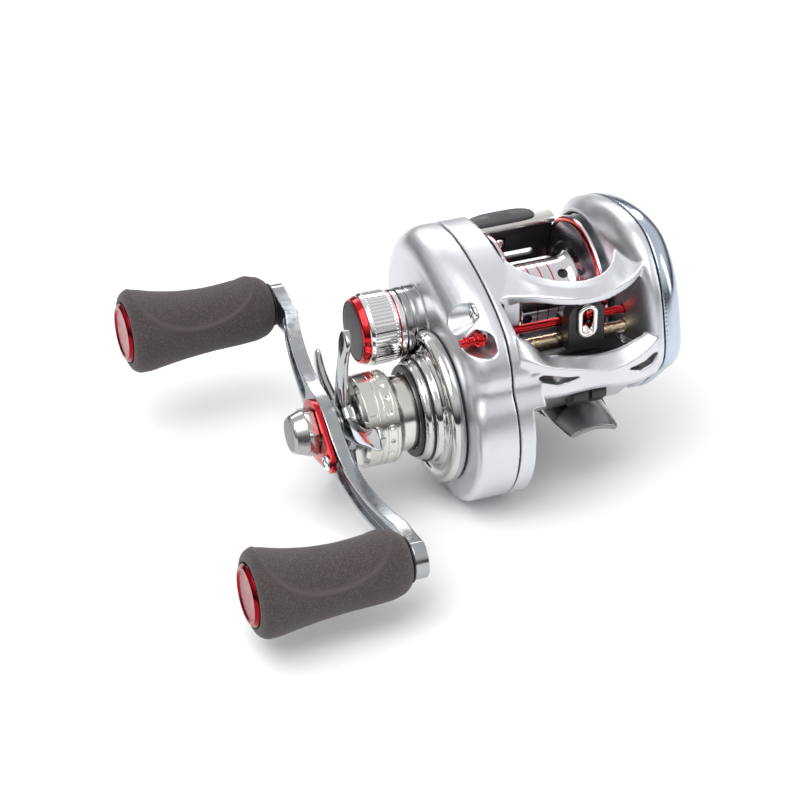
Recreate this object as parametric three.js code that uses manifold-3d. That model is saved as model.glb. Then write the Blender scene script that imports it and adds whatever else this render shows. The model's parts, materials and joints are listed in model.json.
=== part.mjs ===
// Low-profile baitcasting fishing reel, right-hand retrieve, as separate sub-parts.
// Millimetres, +Z up. X runs along the spool axis: the crank handle is on the -X side,
// the palm side is +X. -Y is the front, where the line leaves through the line guide.
// The origin is the centre of the reel foot's underside.

import * as THREE from 'three';
import { mergeVertices } from 'three/addons/utils/BufferGeometryUtils.js';
import Module from 'manifold-3d';

const wasm = await Module();
wasm.setup();

// ---------------------------------------------------------------- driving dimensions

const SPOOL_R = 17.0;            // flange radius of the 34 mm spool
const SPOOL_HALF = 11.15;        // half the width over both flanges
const ARBOR_R = 8.0;             // radius the line is wound on
const FOOT_DROP = 21.6;          // spool axis above the foot's underside
const FOOT_SHIFT = 3.1;          // foot centre to the palm side of the spool's middle

const FIT = 0.08;                // radial clearance of a shaft that turns in a hole
const GAP = 0.3;                 // gap between pieces that rest on each other

const PLATE_IN = -12.4;          // inner face of the frame's gear-side plate
const SEAM = -19.2;              // plane where the frame meets the handle-side cover
const COVER_OUT = -29.3;         // outer face of the handle-side cover
const PALM_IN = 12.4;            // inner edge of the frame's palm-side ring
const PALM_SEAM = 18.0;          // plane where the frame meets the palm-side cover
const PALM_OUT = 23.6;           // outer face of the palm-side cover
const RIM_R = 18.3;              // frame's rim round the palm-side flange
const WALL = 1.4;                // wall thickness of the frame and the covers
const TOP_Z = 18.4;              // frame height over the spool axis, gear side
const REAR_R = 21.5;             // frame radius behind the spool
const LOBE = { y: -18.0, z: -15.3, r: 20.5 };   // gear-box lobe of frame and cover

const MAIN = { y: -14.4, z: -14.7 };            // main shaft axis
const DRIVE_TEETH = 59;
const PINION_TEETH = 11;
const GEAR_MODULE = 2 * Math.hypot(MAIN.y, MAIN.z) / (DRIVE_TEETH + PINION_TEETH);

const WORM = { y: -21.0, z: 0.6, r: 1.5 };      // level-wind worm shaft
const ROD = { y: -20.3, z: 4.7, r: 1.0 };       // stabiliser rod above it
const WIND_TEETH = { drive: 28, idler: 14, worm: 17 };
const WIND_MODULE = 0.6;
const GUIDE_X = 1.8;             // line guide's place along the spool at rest

const KNOB_ARM = 45.9;           // main shaft to each knob's axis
const HANDLE_ANGLE = 8.9 * Math.PI / 180;       // handle's slope from +Y towards +Z
const ARM_OUT = -58.5;           // outer face of the handle arm at its hub
const ARM_THICK = 3.2;
const ARM_SWEEP = 4.2;           // how far the arm's ends lie nearer to the reel
const KNOB_IN = -54.9;           // inboard end of both knobs
const KNOB_OUT = -90.2;          // outboard end of both knobs
const PIN_R = 1.9;

const SPOOL_AXIS = { y: 0, z: 0 };

// ---------------------------------------------------------------- solids

function merged(geometry) {
  const g = geometry.index ? geometry.clone() : geometry;
  g.deleteAttribute('normal');
  g.deleteAttribute('uv');
  return mergeVertices(g, 1e-4);
}

function signedVolume(geometry) {
  const p = geometry.attributes.position;
  const index = geometry.index.array;
  const [a, b, c] = [new THREE.Vector3(), new THREE.Vector3(), new THREE.Vector3()];
  let sum = 0;
  for (let i = 0; i < index.length; i += 3) {
    a.fromBufferAttribute(p, index[i]);
    b.fromBufferAttribute(p, index[i + 1]);
    c.fromBufferAttribute(p, index[i + 2]);
    sum += a.dot(b.cross(c));
  }
  return sum / 6;
}

// Merges shared vertices and turns the faces outwards.
function closed(geometry) {
  const g = merged(geometry);
  if (signedVolume(g) < 0) {
    g.index.array.reverse();
  }
  return g;
}

function solidOf(geometry) {
  const g = closed(geometry);
  return new wasm.Manifold(new wasm.Mesh({
    numProp: 3,
    vertProperties: new Float32Array(g.attributes.position.array),
    triVerts: new Uint32Array(g.index.array),
  }));
}

function geometryOf(solid) {
  const mesh = solid.getMesh();
  const g = new THREE.BufferGeometry();
  g.setAttribute('position', new THREE.BufferAttribute(mesh.vertProperties, 3));
  g.setIndex(new THREE.BufferAttribute(mesh.triVerts, 1));
  return g;
}

function joined(...geometries) {
  return geometryOf(geometries.map(solidOf).reduce((a, b) => a.add(b)));
}

function cut(geometry, ...cutters) {
  return geometryOf(cutters.map(solidOf).reduce((a, b) => a.subtract(b), solidOf(geometry)));
}

function common(a, b) {
  return geometryOf(solidOf(a).intersect(solidOf(b)));
}

// ---------------------------------------------------------------- shapes along the axes

// Cyclic turns of the axes: an outline drawn in (y, z) is extruded along X, and a
// profile turned about its own axis is laid along X.
const DRAWN_YZ = new THREE.Matrix4().set(0, 0, 1, 0, 1, 0, 0, 0, 0, 1, 0, 0, 0, 0, 0, 1);
const TURNED_X = new THREE.Matrix4().set(0, 1, 0, 0, 0, 0, 1, 0, 1, 0, 0, 0, 0, 0, 0, 1);

function shapeOf(points) {
  return new THREE.Shape(points.map(([a, b]) => new THREE.Vector2(a, b)));
}

// Prism along X from x0 to x1 of an outline in (y, z).
function alongX(points, x0, x1, extra = {}) {
  const shape = points instanceof THREE.Shape ? points : shapeOf(points);
  const options = { depth: x1 - x0, bevelEnabled: false, curveSegments: 6, ...extra };
  const g = new THREE.ExtrudeGeometry(shape, options);
  return g.applyMatrix4(DRAWN_YZ).translate(x0, 0, 0);
}

// Prism along Y from y0 to y1 of an outline in (x, z).
function alongY(points, y0, y1) {
  const g = new THREE.ExtrudeGeometry(shapeOf(points), { depth: y1 - y0, bevelEnabled: false });
  return g.rotateX(Math.PI / 2).translate(0, y1, 0);
}

// Prism along Z from z0 to z1 of an outline in (x, y).
function alongZ(points, z0, z1) {
  const shape = points instanceof THREE.Shape ? points : shapeOf(points);
  const g = new THREE.ExtrudeGeometry(shape, { depth: z1 - z0, bevelEnabled: false });
  return g.translate(0, 0, z0);
}

function box(x0, x1, y0, y1, z0, z1) {
  const g = new THREE.BoxGeometry(x1 - x0, y1 - y0, z1 - z0);
  return g.translate((x0 + x1) / 2, (y0 + y1) / 2, (z0 + z1) / 2);
}

// Profile of [x, radius] pairs turned about an axis along X at (y, z). A profile that
// doesn't start and end on the axis closes on itself.
function turned(profile, axis = SPOOL_AXIS, segments = 20) {
  const points = profile.map(([x, r]) => new THREE.Vector2(r, x));
  const ends = [points[0].x, points[points.length - 1].x];
  if (ends[0] > 0 || ends[1] > 0) {
    points.push(points[0].clone());
  }
  const g = new THREE.LatheGeometry(points, segments);
  return g.applyMatrix4(TURNED_X).translate(0, axis.y, axis.z);
}

function rod(x0, x1, r, axis = SPOOL_AXIS, segments = 16) {
  return turned([[x0, 0], [x0, r], [x1, r], [x1, 0]], axis, segments);
}

function ring(x0, x1, inner, outer, axis = SPOOL_AXIS, segments = 16) {
  return turned([[x0, inner], [x0, outer], [x1, outer], [x1, inner]], axis, segments);
}

// Upright rod along Z at (x, y).
function pillar(x, y, z0, z1, r, segments = 16) {
  const g = new THREE.CylinderGeometry(r, r, z1 - z0, segments);
  return g.rotateX(Math.PI / 2).translate(x, y, (z0 + z1) / 2);
}

function arc(cy, cz, r, from, to, steps) {
  const points = [];
  for (let i = 0; i <= steps; i += 1) {
    const a = (from + (to - from) * i / steps) * Math.PI / 180;
    points.push([cy + r * Math.cos(a), cz + r * Math.sin(a)]);
  }
  return points;
}

// Outline moved inwards by a distance; the outline runs anticlockwise.
function inset(points, distance) {
  return points.map((p, i) => {
    const before = points[(i + points.length - 1) % points.length];
    const after = points[(i + 1) % points.length];
    const along = new THREE.Vector2(after[0] - before[0], after[1] - before[1]).normalize();
    return [p[0] - along.y * distance, p[1] + along.x * distance];
  });
}

// Spur gear along X: trapezoid teeth with backlash, and a round bore.
function gear(teeth, module, x0, x1, bore, phase = 0) {
  const pitch = teeth * module / 2;
  const steps = [[-0.30, -1.15], [-0.12, 0.85], [0.12, 0.85], [0.30, -1.15]];
  const points = [];
  for (let tooth = 0; tooth < teeth; tooth += 1) {
    for (const [turn, rise] of steps) {
      const a = 2 * Math.PI * (tooth + phase + turn) / teeth;
      const r = pitch + rise * module;
      points.push([r * Math.cos(a), r * Math.sin(a)]);
    }
  }
  const shape = shapeOf(points);
  const hole = arc(0, 0, bore, 0, 337.5, 15);
  shape.holes.push(new THREE.Path(hole.map(([a, b]) => new THREE.Vector2(a, b))));
  return alongX(shape, x0, x1);
}

// ---------------------------------------------------------------- materials

function material(color, roughness, metalness) {
  return new THREE.MeshStandardMaterial({ color, roughness, metalness });
}

const FINISH = {
  satin: () => material(0xc9ccd2, 0.32, 1.0),
  chrome: () => material(0xd8d8d8, 0.08, 1.0),
  champagne: () => material(0xcfccc2, 0.25, 1.0),
  gunmetal: () => material(0x8d9298, 0.18, 1.0),
  dark: () => material(0x4b4a4c, 0.35, 0.9),
  red: () => material(0xb5121f, 0.25, 0.9),
  steel: () => material(0xa9a9ab, 0.25, 1.0),
  brass: () => material(0xb08d57, 0.3, 1.0),
  black: () => material(0x17171a, 0.45, 0.0),
  foam: () => material(0x4a4240, 0.95, 0.0),
  pad: () => material(0x55565a, 0.6, 0.0),
};

const reel = new THREE.Group();
const aboutSpool = new THREE.Group();
aboutSpool.position.set(-FOOT_SHIFT, 0, FOOT_DROP);
reel.add(aboutSpool);

function add(name, geometry, finish, parent = aboutSpool) {
  const mesh = new THREE.Mesh(closed(geometry), FINISH[finish]());
  mesh.name = name;
  parent.add(mesh);
  return mesh;
}

// ---------------------------------------------------------------- outlines in (y, z)

// Frame and handle-side cover: round behind and over the spool, a nose for the line
// guide in front, and the gear-box lobe below it.
const GEAR_SIDE = [
  ...arc(0, 0, REAR_R, -49.6, 22, 6),
  [17.6, 13.2],
  [12.6, 16.9],
  [5.0, TOP_Z],
  [-1.2, TOP_Z],
  [-7.3, 17.6],
  [-13.3, 16.2],
  [-19.2, 14.2],
  [-25.1, 11.4],
  [-29.3, 8.4],
  [-31.9, 4.6],
  [-33.2, 1.2],
  ...arc(LOBE.y, LOBE.z, LOBE.r, 141, 300, 13),
  [5.5, -27.0],
];

// Frame and palm-side cover: taller and squarer in front, with no gear lobe.
const PALM_SIDE = [
  [14.0, -16.0],
  [19.2, -9.0],
  [21.4, 0.0],
  [20.6, 8.0],
  [16.5, 14.2],
  [8.5, 19.0],
  [0.0, 22.0],
  [-8.0, 23.6],
  [-15.0, 23.8],
  [-20.5, 22.4],
  [-25.5, 18.6],
  [-29.3, 13.0],
  [-31.7, 5.0],
  [-32.6, -1.0],
  [-31.2, -5.6],
  [-27.0, -10.0],
  [-19.0, -18.0],
  [-14.0, -19.3],
  [9.0, -19.3],
];

// ---------------------------------------------------------------- frame

// Rail across the top in front of the spool: its plan follows the front of the thumb
// opening, it dips in the middle, and its top slopes down to the front.
function topRail() {
  const plan = alongZ([
    [-14.0, -9.0], [-12.0, -9.0], [-10.2, -14.5], [-5.7, -19.0], [-0.7, -21.5],
    [3.9, -22.3], [7.4, -21.8], [10.0, -20.0], [12.1, -16.0], [16.5, -15.0],
    [16.5, -25.5], [13.2, -26.2], [8.9, -27.0], [3.6, -27.8], [-2.0, -27.4],
    [-7.2, -25.4], [-14.0, -21.6],
  ].reverse(), 0, 40);
  const upper = [[-15, 14.6], [-6, 15.2], [0, 15.5], [5, 15.6], [9, 16.1], [13.2, 17.6], [17, 20.5]];
  const depth = 2.6;
  const lower = upper.map(([x, z]) => [x, z - depth]).reverse();
  const slope = 0.27;
  const shear = new THREE.Matrix4().set(1, 0, 0, 0, 0, 1, 0, 0, 0, slope, 1, 22 * slope, 0, 0, 0, 1);
  const profile = alongY([...upper, ...lower], -30, 2).applyMatrix4(shear);
  return common(profile, plan);
}

// Bar below the front window: a ridge along it, and a lower lip pierced by two slots.
function frontBar() {
  const section = alongX([
    [-28.6, 0.6], [-31.4, 0.4], [-34.2, -2.2], [-32.6, -5.6], [-29.0, -9.4],
    [-27.0, -9.4], [-28.8, -5.0], [-28.8, -2.4],
  ], -16.6, PALM_SEAM);
  const plan = alongZ([
    [-19.2, -20.0], [-19.2, -32.6], [-12.0, -33.2], [-4.0, -34.0], [5.0, -34.2],
    [13.0, -33.0], [18.0, -31.4], [18.0, -20.0],
  ].reverse(), -12, 3);
  const leftSlot = alongY([[-11.2, -3.6], [-9.4, -5.8], [-4.4, -7.4], [-1.4, -6.6], [-0.6, -5.2]], -40, -20);
  const rightSlot = alongY([[11.0, -6.6], [13.0, -7.0], [17.2, -4.6], [17.8, -3.4], [15.0, -4.4]], -40, -20);
  return cut(common(section, plan), leftSlot, rightSlot);
}

// Radius of an outline round the spool axis at each of n equal angles.
function radialPoints(points, n) {
  const found = [];
  for (let i = 0; i < n; i += 1) {
    const a = 2 * Math.PI * i / n;
    const [c, s] = [Math.cos(a), Math.sin(a)];
    let reach = 0;
    points.forEach((p, k) => {
      const q = points[(k + 1) % points.length];
      const [ey, ez] = [q[0] - p[0], q[1] - p[1]];
      const det = c * ez - s * ey;
      const t = (p[0] * ez - p[1] * ey) / det;
      const u = (p[0] * s - p[1] * c) / det;
      if (u >= 0 && u <= 1 && t > reach) {
        reach = t;
      }
    });
    found.push([reach * c, reach * s]);
  }
  return found;
}

// Solid through outlines with equal numbers of points, each at its own x.
function loft(sections) {
  const n = sections[0].points.length;
  const position = sections.flatMap(({ x, points }) => points.flatMap(([y, z]) => [x, y, z]));
  const last = sections.length - 1;
  position.push(sections[0].x, 0, 0, sections[last].x, 0, 0);
  const centre = [sections.length * n, sections.length * n + 1];
  const index = [];
  for (let i = 0; i < n; i += 1) {
    const j = (i + 1) % n;
    for (let k = 0; k < last; k += 1) {
      const [a, b, c, d] = [k * n + i, k * n + j, (k + 1) * n + i, (k + 1) * n + j];
      index.push(a, b, c, b, d, c);
    }
    index.push(centre[0], j, i);
    index.push(centre[1], last * n + i, last * n + j);
  }
  const g = new THREE.BufferGeometry();
  g.setAttribute('position', new THREE.Float32BufferAttribute(position, 3));
  g.setIndex(index);
  return g;
}

function blend(a, b, share) {
  return a.map((p, i) => [p[0] + (b[i][0] - p[0]) * share, p[1] + (b[i][1] - p[1]) * share]);
}

// Ring round the spool on the palm side, which flares from the spool's rim out to the
// seam's outline.
function palmRing() {
  const n = 48;
  const outline = radialPoints(PALM_SIDE, n);
  const rim = arc(0, 0, RIM_R, 0, 360 - 360 / n, n - 1);
  return loft([
    { x: PALM_IN, points: rim },
    { x: PALM_IN + 1.9, points: blend(rim, outline, 0.62) },
    { x: PALM_IN + 3.4, points: blend(rim, outline, 0.94) },
    { x: PALM_IN + 4.4, points: outline },
    { x: PALM_SEAM, points: outline },
  ]);
}

function gearPlate() {
  const block = alongX(GEAR_SIDE, SEAM, PLATE_IN);
  const room = inset(GEAR_SIDE, WALL);
  const shallow = alongX(room, SEAM - 1, -16.4);
  const deep = common(alongX(room, SEAM - 1, -14.2), box(-30, 0, -20.3, 40, -60, 40));
  const noseSide = box(-15.0, -10, -40, -20.6, 0.4, 20);
  const lobeSide = box(-15.4, -10, -50, 8, -60, -10.5);
  return cut(block, shallow, deep, noseSide, lobeSide);
}

function floorAndRear() {
  const floor = box(-13.5, 13.5, -17.5, 12.0, -19.3, -17.6);
  const chin = alongX([[-28.6, -9.0], [-27.0, -9.0], [-17.4, -17.6], [-17.4, -19.3], [-18.6, -19.3]], -13.5, 13.5);
  const rear = alongX([
    ...arc(0, 0, 17.6, -56, -17, 5).reverse(),
    [9.8, -19.3], [13.6, -16.4], [19.4, -8.6], [20.6, -5.2], [17.2, -5.2],
  ].reverse(), -13.5, 13.5);
  return joined(floor, chin, rear);
}

function makeFrame() {
  const idler = idlerAxis();
  const palmRoom = radialPoints(inset(PALM_SIDE, 2.6), 40);
  const holes = [
    rod(-15, -12, 5.1, SPOOL_AXIS, 28),
    rod(-15, -13, 4.1, MAIN, 24),
    rod(-17, -12, 2.2, WORM, 16),
    rod(12, 15.4, WORM.r + FIT, WORM, 16),
    rod(-16, -12, ROD.r + FIT, ROD, 12),
    rod(12, 16.4, ROD.r + FIT, ROD, 12),
    rod(11, 30, 17.35, SPOOL_AXIS, 40),
    pillar(FOOT_SHIFT, -8.5, -20, -17, 1.3),
    pillar(FOOT_SHIFT, 8.5, -20, -17, 1.3),
    loft([{ x: 16.1, points: palmRoom }, { x: 25, points: palmRoom }]),
  ];
  const body = joined(gearPlate(), palmRing(), topRail(), frontBar(), floorAndRear());
  const wormBoss = cut(rod(12, PALM_SEAM - 0.5, 3, WORM, 16), rod(11, 15.4, WORM.r + FIT, WORM, 16));
  const solid = cut(body, ...holes);
  const idlerPost = rod(-18.6, -15.5, 1.2, idler, 12);
  return joined(solid, idlerPost, common(wormBoss, alongX(PALM_SIDE, PALM_IN, PALM_SEAM)));
}

// ---------------------------------------------------------------- covers

const COVER_SCREW = { y: -20.7, z: 11.3 };
const REAR_SCREW = { y: 14.5, z: -6.5 };
const KEEPER = { y: -26.3, z: 7.9 };

// Shell between the seam and an outer face with rounded edges.
function shell(outline, seam, outer, round) {
  const side = Math.sign(outer - seam);
  const reach = Math.abs(outer - seam);
  const make = (points, depth, radius) => {
    const g = alongX(points, 0, depth + 20 - radius, {
      bevelEnabled: true, bevelThickness: radius, bevelSize: radius, bevelOffset: -radius, bevelSegments: 3,
    });
    const placed = side > 0 ? g.translate(seam - 20, 0, 0) : g.translate(outer + radius, 0, 0);
    const keep = side > 0 ? box(seam, seam + depth + 1, -60, 60, -60, 60)
      : box(outer - 1, seam, -60, 60, -60, 60);
    return common(placed, keep);
  };
  const hull = make(outline, reach, round);
  const inner = inset(outline, WALL);
  const room = make(inner, reach, round);
  room.translate(-side * WALL, 0, 0);
  return cut(hull, room, box(seam - 2, seam + 2, -60, 60, -60, 60).translate(-side * 2, 0, 0));
}

function makeHandleSideCover() {
  const body = shell(GEAR_SIDE, SEAM - GAP, COVER_OUT, 3.2);
  const capBoss = rod(-35.4, COVER_OUT + 1, 7.2, SPOOL_AXIS, 28);
  const screwSeat = common(rod(-29, SEAM - GAP, 3.3, COVER_SCREW, 16), alongX(inset(GEAR_SIDE, 0.4), -29, -19));
  const keeperSeat = common(box(-28.6, SEAM - GAP, -32, -22.6, 4.4, 11.8), alongX(inset(GEAR_SIDE, 0.4), -29, -19));
  const rearSeat = rod(-29, SEAM - GAP, 2.8, REAR_SCREW, 16);
  const gearSpace = rod(-24.8, SEAM + 1, 18.4, MAIN, 32);
  const seats = cut(joined(screwSeat, keeperSeat, rearSeat), gearSpace);
  const open = [
    rod(-36, -25, 2.6, SPOOL_AXIS, 20),
    rod(-36, -33.2, 5.1, SPOOL_AXIS, 24),
    rod(-33, -25, 8.9, MAIN, 32),
    rod(-40, -22.1, 2.5, COVER_SCREW, 16),
    rod(-23, -18, 1.2, COVER_SCREW, 12),
    rod(-40, -27.6, 2.2, REAR_SCREW, 16),
    rod(-28, -18, 1.2, REAR_SCREW, 12),
    box(-40, -22.7, -40, -24.1, 5.7, 10.1),
  ];
  return cut(joined(body, capBoss, seats), ...open);
}

function makePalmSideCover() {
  const body = shell(PALM_SIDE, PALM_SEAM + GAP, PALM_OUT, 4.2);
  return cut(body, rod(20, 30, 2.3, SPOOL_AXIS, 20));
}

function screw(name, x, axis, headR, reach, side = -1) {
  const head = [[x, 0], [x, headR * 0.9], [x - side * 0.4, headR], [x - side * 1.2, headR]];
  const shank = [[x - side * 1.2, 1.0], [x - side * reach, 1.0], [x - side * reach, 0]];
  add(name, turned([...head, ...shank], axis, 16), 'chrome');
}

function makeCovers() {
  add('frame', makeFrame(), 'satin');
  add('handle_side_cover', makeHandleSideCover(), 'satin');
  add('palm_side_cover', makePalmSideCover(), 'satin');
  screw('cover_screw_front', -23.6, COVER_SCREW, 2.2, 4.0);
  screw('cover_screw_rear', -29.1, REAR_SCREW, 1.9, 9.4);
  const k = 1.9;
  add('hook_keeper', turned([
    [-29.2, 0], [-29.2, 1.1], [-28.4, 1.1], [-28.4, k], [-27.5, k], [-26.9, 1.0],
    [-25.6, 1.0], [-25.0, k], [-23.9, k], [-23.9, 1.1], [-23.1, 1.1], [-23.1, 0],
  ], KEEPER, 16), 'red');
  const section = [[-28.0, -10.2], [-29.2, -10.6], [-29.0, -11.8], [-25.8, -14.9], [-24.6, -13.7]];
  add('nose_cover', alongX(section, -2.6, 5.6), 'black');
}

// ---------------------------------------------------------------- foot

function makeFoot() {
  const half = 29;
  const tip = 6.05;
  const waist = 8.6;
  const side = [[tip - 0.8, -half], [tip, -half + 1], [waist, -12], [waist, 12], [tip, half - 1], [tip - 0.8, half]];
  const mirror = side.map(([x, y]) => [-x, y]).reverse();
  const top = 2.3;
  const plan = alongZ([...side, ...mirror], 0, top);
  const outerR = 12.2;
  const innerR = 10.9;
  const axisZ = top - outerR;
  const lying = (r, y0, y1) => {
    const g = new THREE.CylinderGeometry(r, r, y1 - y0, 48);
    return g.translate(0, (y0 + y1) / 2, axisZ);
  };
  const plate = common(plan, lying(outerR, -40, 40));
  const arched = cut(plate, lying(innerR, -40, -13.5), lying(innerR, 13.5, 40));
  const pad = box(-8.6, 8.6, -12, 12, 0, top - GAP);
  const trimmed = cut(joined(arched, pad), box(-20, 20, -14, 12.6, top - GAP, 5));
  const holes = [-8.5, 8.5].flatMap((y) => [pillar(0, y, -1, 5, 1.35), pillar(0, y, -1, 1.2, 2.3)]);
  const group = new THREE.Group();
  reel.add(group);
  add('reel_foot', cut(trimmed, ...holes), 'dark', group);
  for (const [name, y] of [['foot_screw_front', -8.5], ['foot_screw_rear', 8.5]]) {
    const body = joined(pillar(0, y, 0.2, 1.0, 2.1), pillar(0, y, 0.9, 3.6, 1.1));
    add(name, body, 'chrome', group);
  }
}

// ---------------------------------------------------------------- spool and its bearings

function makeSpool() {
  const flankR = 9.0;
  const dish = 7.0;
  add('spool', turned([
    [-9.0, 1.55], [-9.0, dish], [-SPOOL_HALF, 16.1], [-SPOOL_HALF, SPOOL_R], [-10.3, SPOOL_R],
    [-8.5, flankR], [-6.3, ARBOR_R], [6.3, ARBOR_R], [8.5, flankR],
    [10.3, SPOOL_R], [SPOOL_HALF, SPOOL_R], [SPOOL_HALF, 16.1], [9.0, dish], [9.0, 1.55],
  ], SPOOL_AXIS, 24), 'steel');
  add('spool_shaft', turned([
    [-36.4, 0], [-36.4, 1.1], [-12.2, 1.1], [-12.2, 1.5], [15.2, 1.5], [15.2, 0],
  ], SPOOL_AXIS, 16), 'steel');
  add('spool_bearing_handle_side', ring(-36.2, -33.5, 1.1 + FIT, 4.9), 'steel');
  add('spool_bearing_palm_side', ring(12.2, 15.0, 1.5 + FIT, 4.0), 'steel');
}

function makeBrake() {
  add('brake_housing', turned([
    [11.9, 4.2], [11.9, 5.3], [13.2, 5.3], [13.2, 17.05], [14.8, 17.05], [14.8, 7.0],
    [16.6, 7.0], [16.6, 1.9], [15.4, 1.9], [15.4, 4.2],
  ], SPOOL_AXIS, 24), 'black');
  add('brake_magnet_ring', ring(10.7, 12.9, 5.6, 7.8), 'steel');
  const knob = turned([
    [PALM_OUT + GAP, 2.1], [PALM_OUT + GAP, 9.0], [25.2, 9.0], [26.0, 8.2], [26.0, 0], [17.2, 0], [17.2, 2.1],
  ], SPOOL_AXIS, 20);
  add('brake_dial', knob, 'dark');
}

// ---------------------------------------------------------------- clutch and pinion

function makePinion() {
  const teeth = gear(PINION_TEETH, GEAR_MODULE, -26.2, -18.4, 1.1 + FIT, 0);
  const neck = ring(-18.5, -16.9, 1.1 + FIT, 2.0, SPOOL_AXIS, 16);
  const collar = ring(-17.0, -12.9, 1.1 + FIT, 2.9, SPOOL_AXIS, 20);
  add('pinion_gear', joined(teeth, neck, collar), 'brass');
  add('pinion_bearing', ring(-14.0, -12.6, 2.9 + FIT, 4.9), 'steel');
}

// Fork that straddles the pinion's neck, with a return spring at each end. Its slot
// opens towards the main shaft.
function makeClutch() {
  const turn = Math.atan2(-MAIN.z, -MAIN.y);
  const half = 9.9;
  const springAt = 8.3;
  const blank = joined(box(-18.1, -17.3, 0.4, 3.6, -half, half), box(-18.1, -17.3, -3.4, 3.6, -3.6, 3.6));
  const slot = joined(rod(-19, -16, 2.15, SPOOL_AXIS, 16), box(-19, -16, -10, 0, -2.15, 2.15));
  add('clutch_yoke', cut(blank, slot).rotateX(turn), 'black');
  for (const [name, z] of [['yoke_spring_upper', springAt], ['yoke_spring_lower', -springAt]]) {
    add(name, rod(-24.0, -18.4, 1.3, { y: 2.0, z }, 12).rotateX(turn), 'steel');
  }
}

function makeThumbBar() {
  const section = [[16.2, 9.1], [16.8, 8.4], [21.6, 8.4], [22.2, 9.6], [21.2, 10.9], [16.9, 10.4]];
  const bar = alongX(section, -11.9, 11.9);
  const slide = box(-11.9, 11.9, 17.8, 19.0, -0.9, 8.1);
  const window = box(-7, 7, 15, 20, 0.5, 2.2);
  add('thumb_bar', bar, 'chrome');
  add('thumb_pad', alongX([[16.9, 10.7], [21.2, 11.2], [20.4, 12.2], [17.4, 11.8]], -9.8, 7.6), 'pad');
  const screwSeat = box(-3.0, 0.0, 17, 18.6, 3.2, 6.4);
  add('clutch_slide_plate', cut(slide, window, screwSeat), 'black');
  const head = new THREE.CylinderGeometry(1.3, 1.3, 0.9, 16);
  add('slide_plate_screw', head.translate(-1.5, 17.8, 4.8), 'chrome');
}

// ---------------------------------------------------------------- drive

function makeDrive() {
  add('main_shaft', turned([
    [-62.6, 0], [-62.6, 1.9], [-54.3, 1.9], [-54.3, 3.0], [-36.9, 3.0], [-36.9, 3.8], [-27.6, 3.8],
    [-27.6, 3.0], [-19.3, 3.0], [-19.3, 2.4], [-13.1, 2.4], [-13.1, 0],
  ], MAIN, 16), 'steel');
  const meshTurn = Math.atan2(-MAIN.z, -MAIN.y) / (2 * Math.PI);
  const phase = meshTurn * DRIVE_TEETH + meshTurn * PINION_TEETH;
  const drive = gear(DRIVE_TEETH, GEAR_MODULE, -24.2, -21.8, 3.3, phase - Math.floor(phase));
  add('drive_gear', drive.translate(0, MAIN.y, MAIN.z), 'brass');
  add('drag_washer', ring(-25.1, -24.5, 3.4, 13.5, MAIN, 20), 'black');
  add('drag_pressure_plate', ring(-26.4, -25.4, 3.4, 13.8, MAIN, 20), 'steel');
  add('anti_reverse_bearing', ring(-34.6, -27.9, 3.8 + FIT, 6.9, MAIN, 16), 'steel');
  add('main_shaft_bearing', ring(-14.9, -13.2, 2.4 + FIT, 4.0, MAIN, 16), 'steel');
}

// Chromed tower that carries the anti-reverse bearing, stepped down towards the star.
function makeBezel() {
  const tower = turned([
    [-27.3, 7.2], [-27.3, 8.6], [COVER_OUT - GAP, 8.6], [COVER_OUT - GAP, 17.4], [-31.6, 17.8],
    [-32.7, 17.2], [-32.9, 15.8], [-31.9, 14.8], [-33.0, 12.6], [-35.0, 12.4], [-35.4, 11.7],
    [-36.6, 11.5], [-36.9, 11.0], [-36.9, 4.2], [-35.0, 4.2], [-35.0, 7.2],
  ], MAIN, 28);
  add('bezel_ring', cut(tower, rod(-40, -20, 8.6, SPOOL_AXIS, 24)), 'chrome');
  add('bezel_seal', turned([
    [-37.6, 8.9], [-37.6, 10.6], [-37.2, 10.8], [-37.2, 8.9],
  ], MAIN, 20), 'black');
}

function makeStar() {
  add('star_barrel', turned([
    [-37.4, 4.2], [-37.4, 8.6], [-41.2, 8.8], [-42.0, 10.3], [-42.6, 10.7], [-49.9, 10.7],
    [-50.6, 10.0], [-50.6, 3.1], [-38.9, 3.1], [-38.9, 4.2],
  ], MAIN, 24), 'champagne');
  const arms = 5;
  const first = 14;
  const tipR = 23.6;
  const hub = ring(-54.2, -50.9, 3.1, 6.4, { y: 0, z: 0 }, 24);
  const blade = alongX([[4, -2.3], [11, -1.5], [19, -1.9], [tipR - 1, -2.2], [tipR, 0], [tipR - 1, 2.2],
    [19, 1.9], [11, 1.5], [4, 2.3]], -54.0, -51.6);
  const p = blade.attributes.position;
  for (let i = 0; i < p.count; i += 1) {
    p.setX(i, p.getX(i) + 0.2 * Math.max(0, p.getY(i) - 11));
  }
  const pieces = [hub];
  for (let i = 0; i < arms; i += 1) {
    const turn = (first + 360 * i / arms) * Math.PI / 180;
    pieces.push(blade.clone().rotateX(turn));
  }
  const star = cut(joined(...pieces), rod(-60, -45, 3.1, { y: 0, z: 0 }, 24));
  add('star_wheel', star.translate(0, MAIN.y, MAIN.z), 'chrome');
}

// ---------------------------------------------------------------- handle

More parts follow.
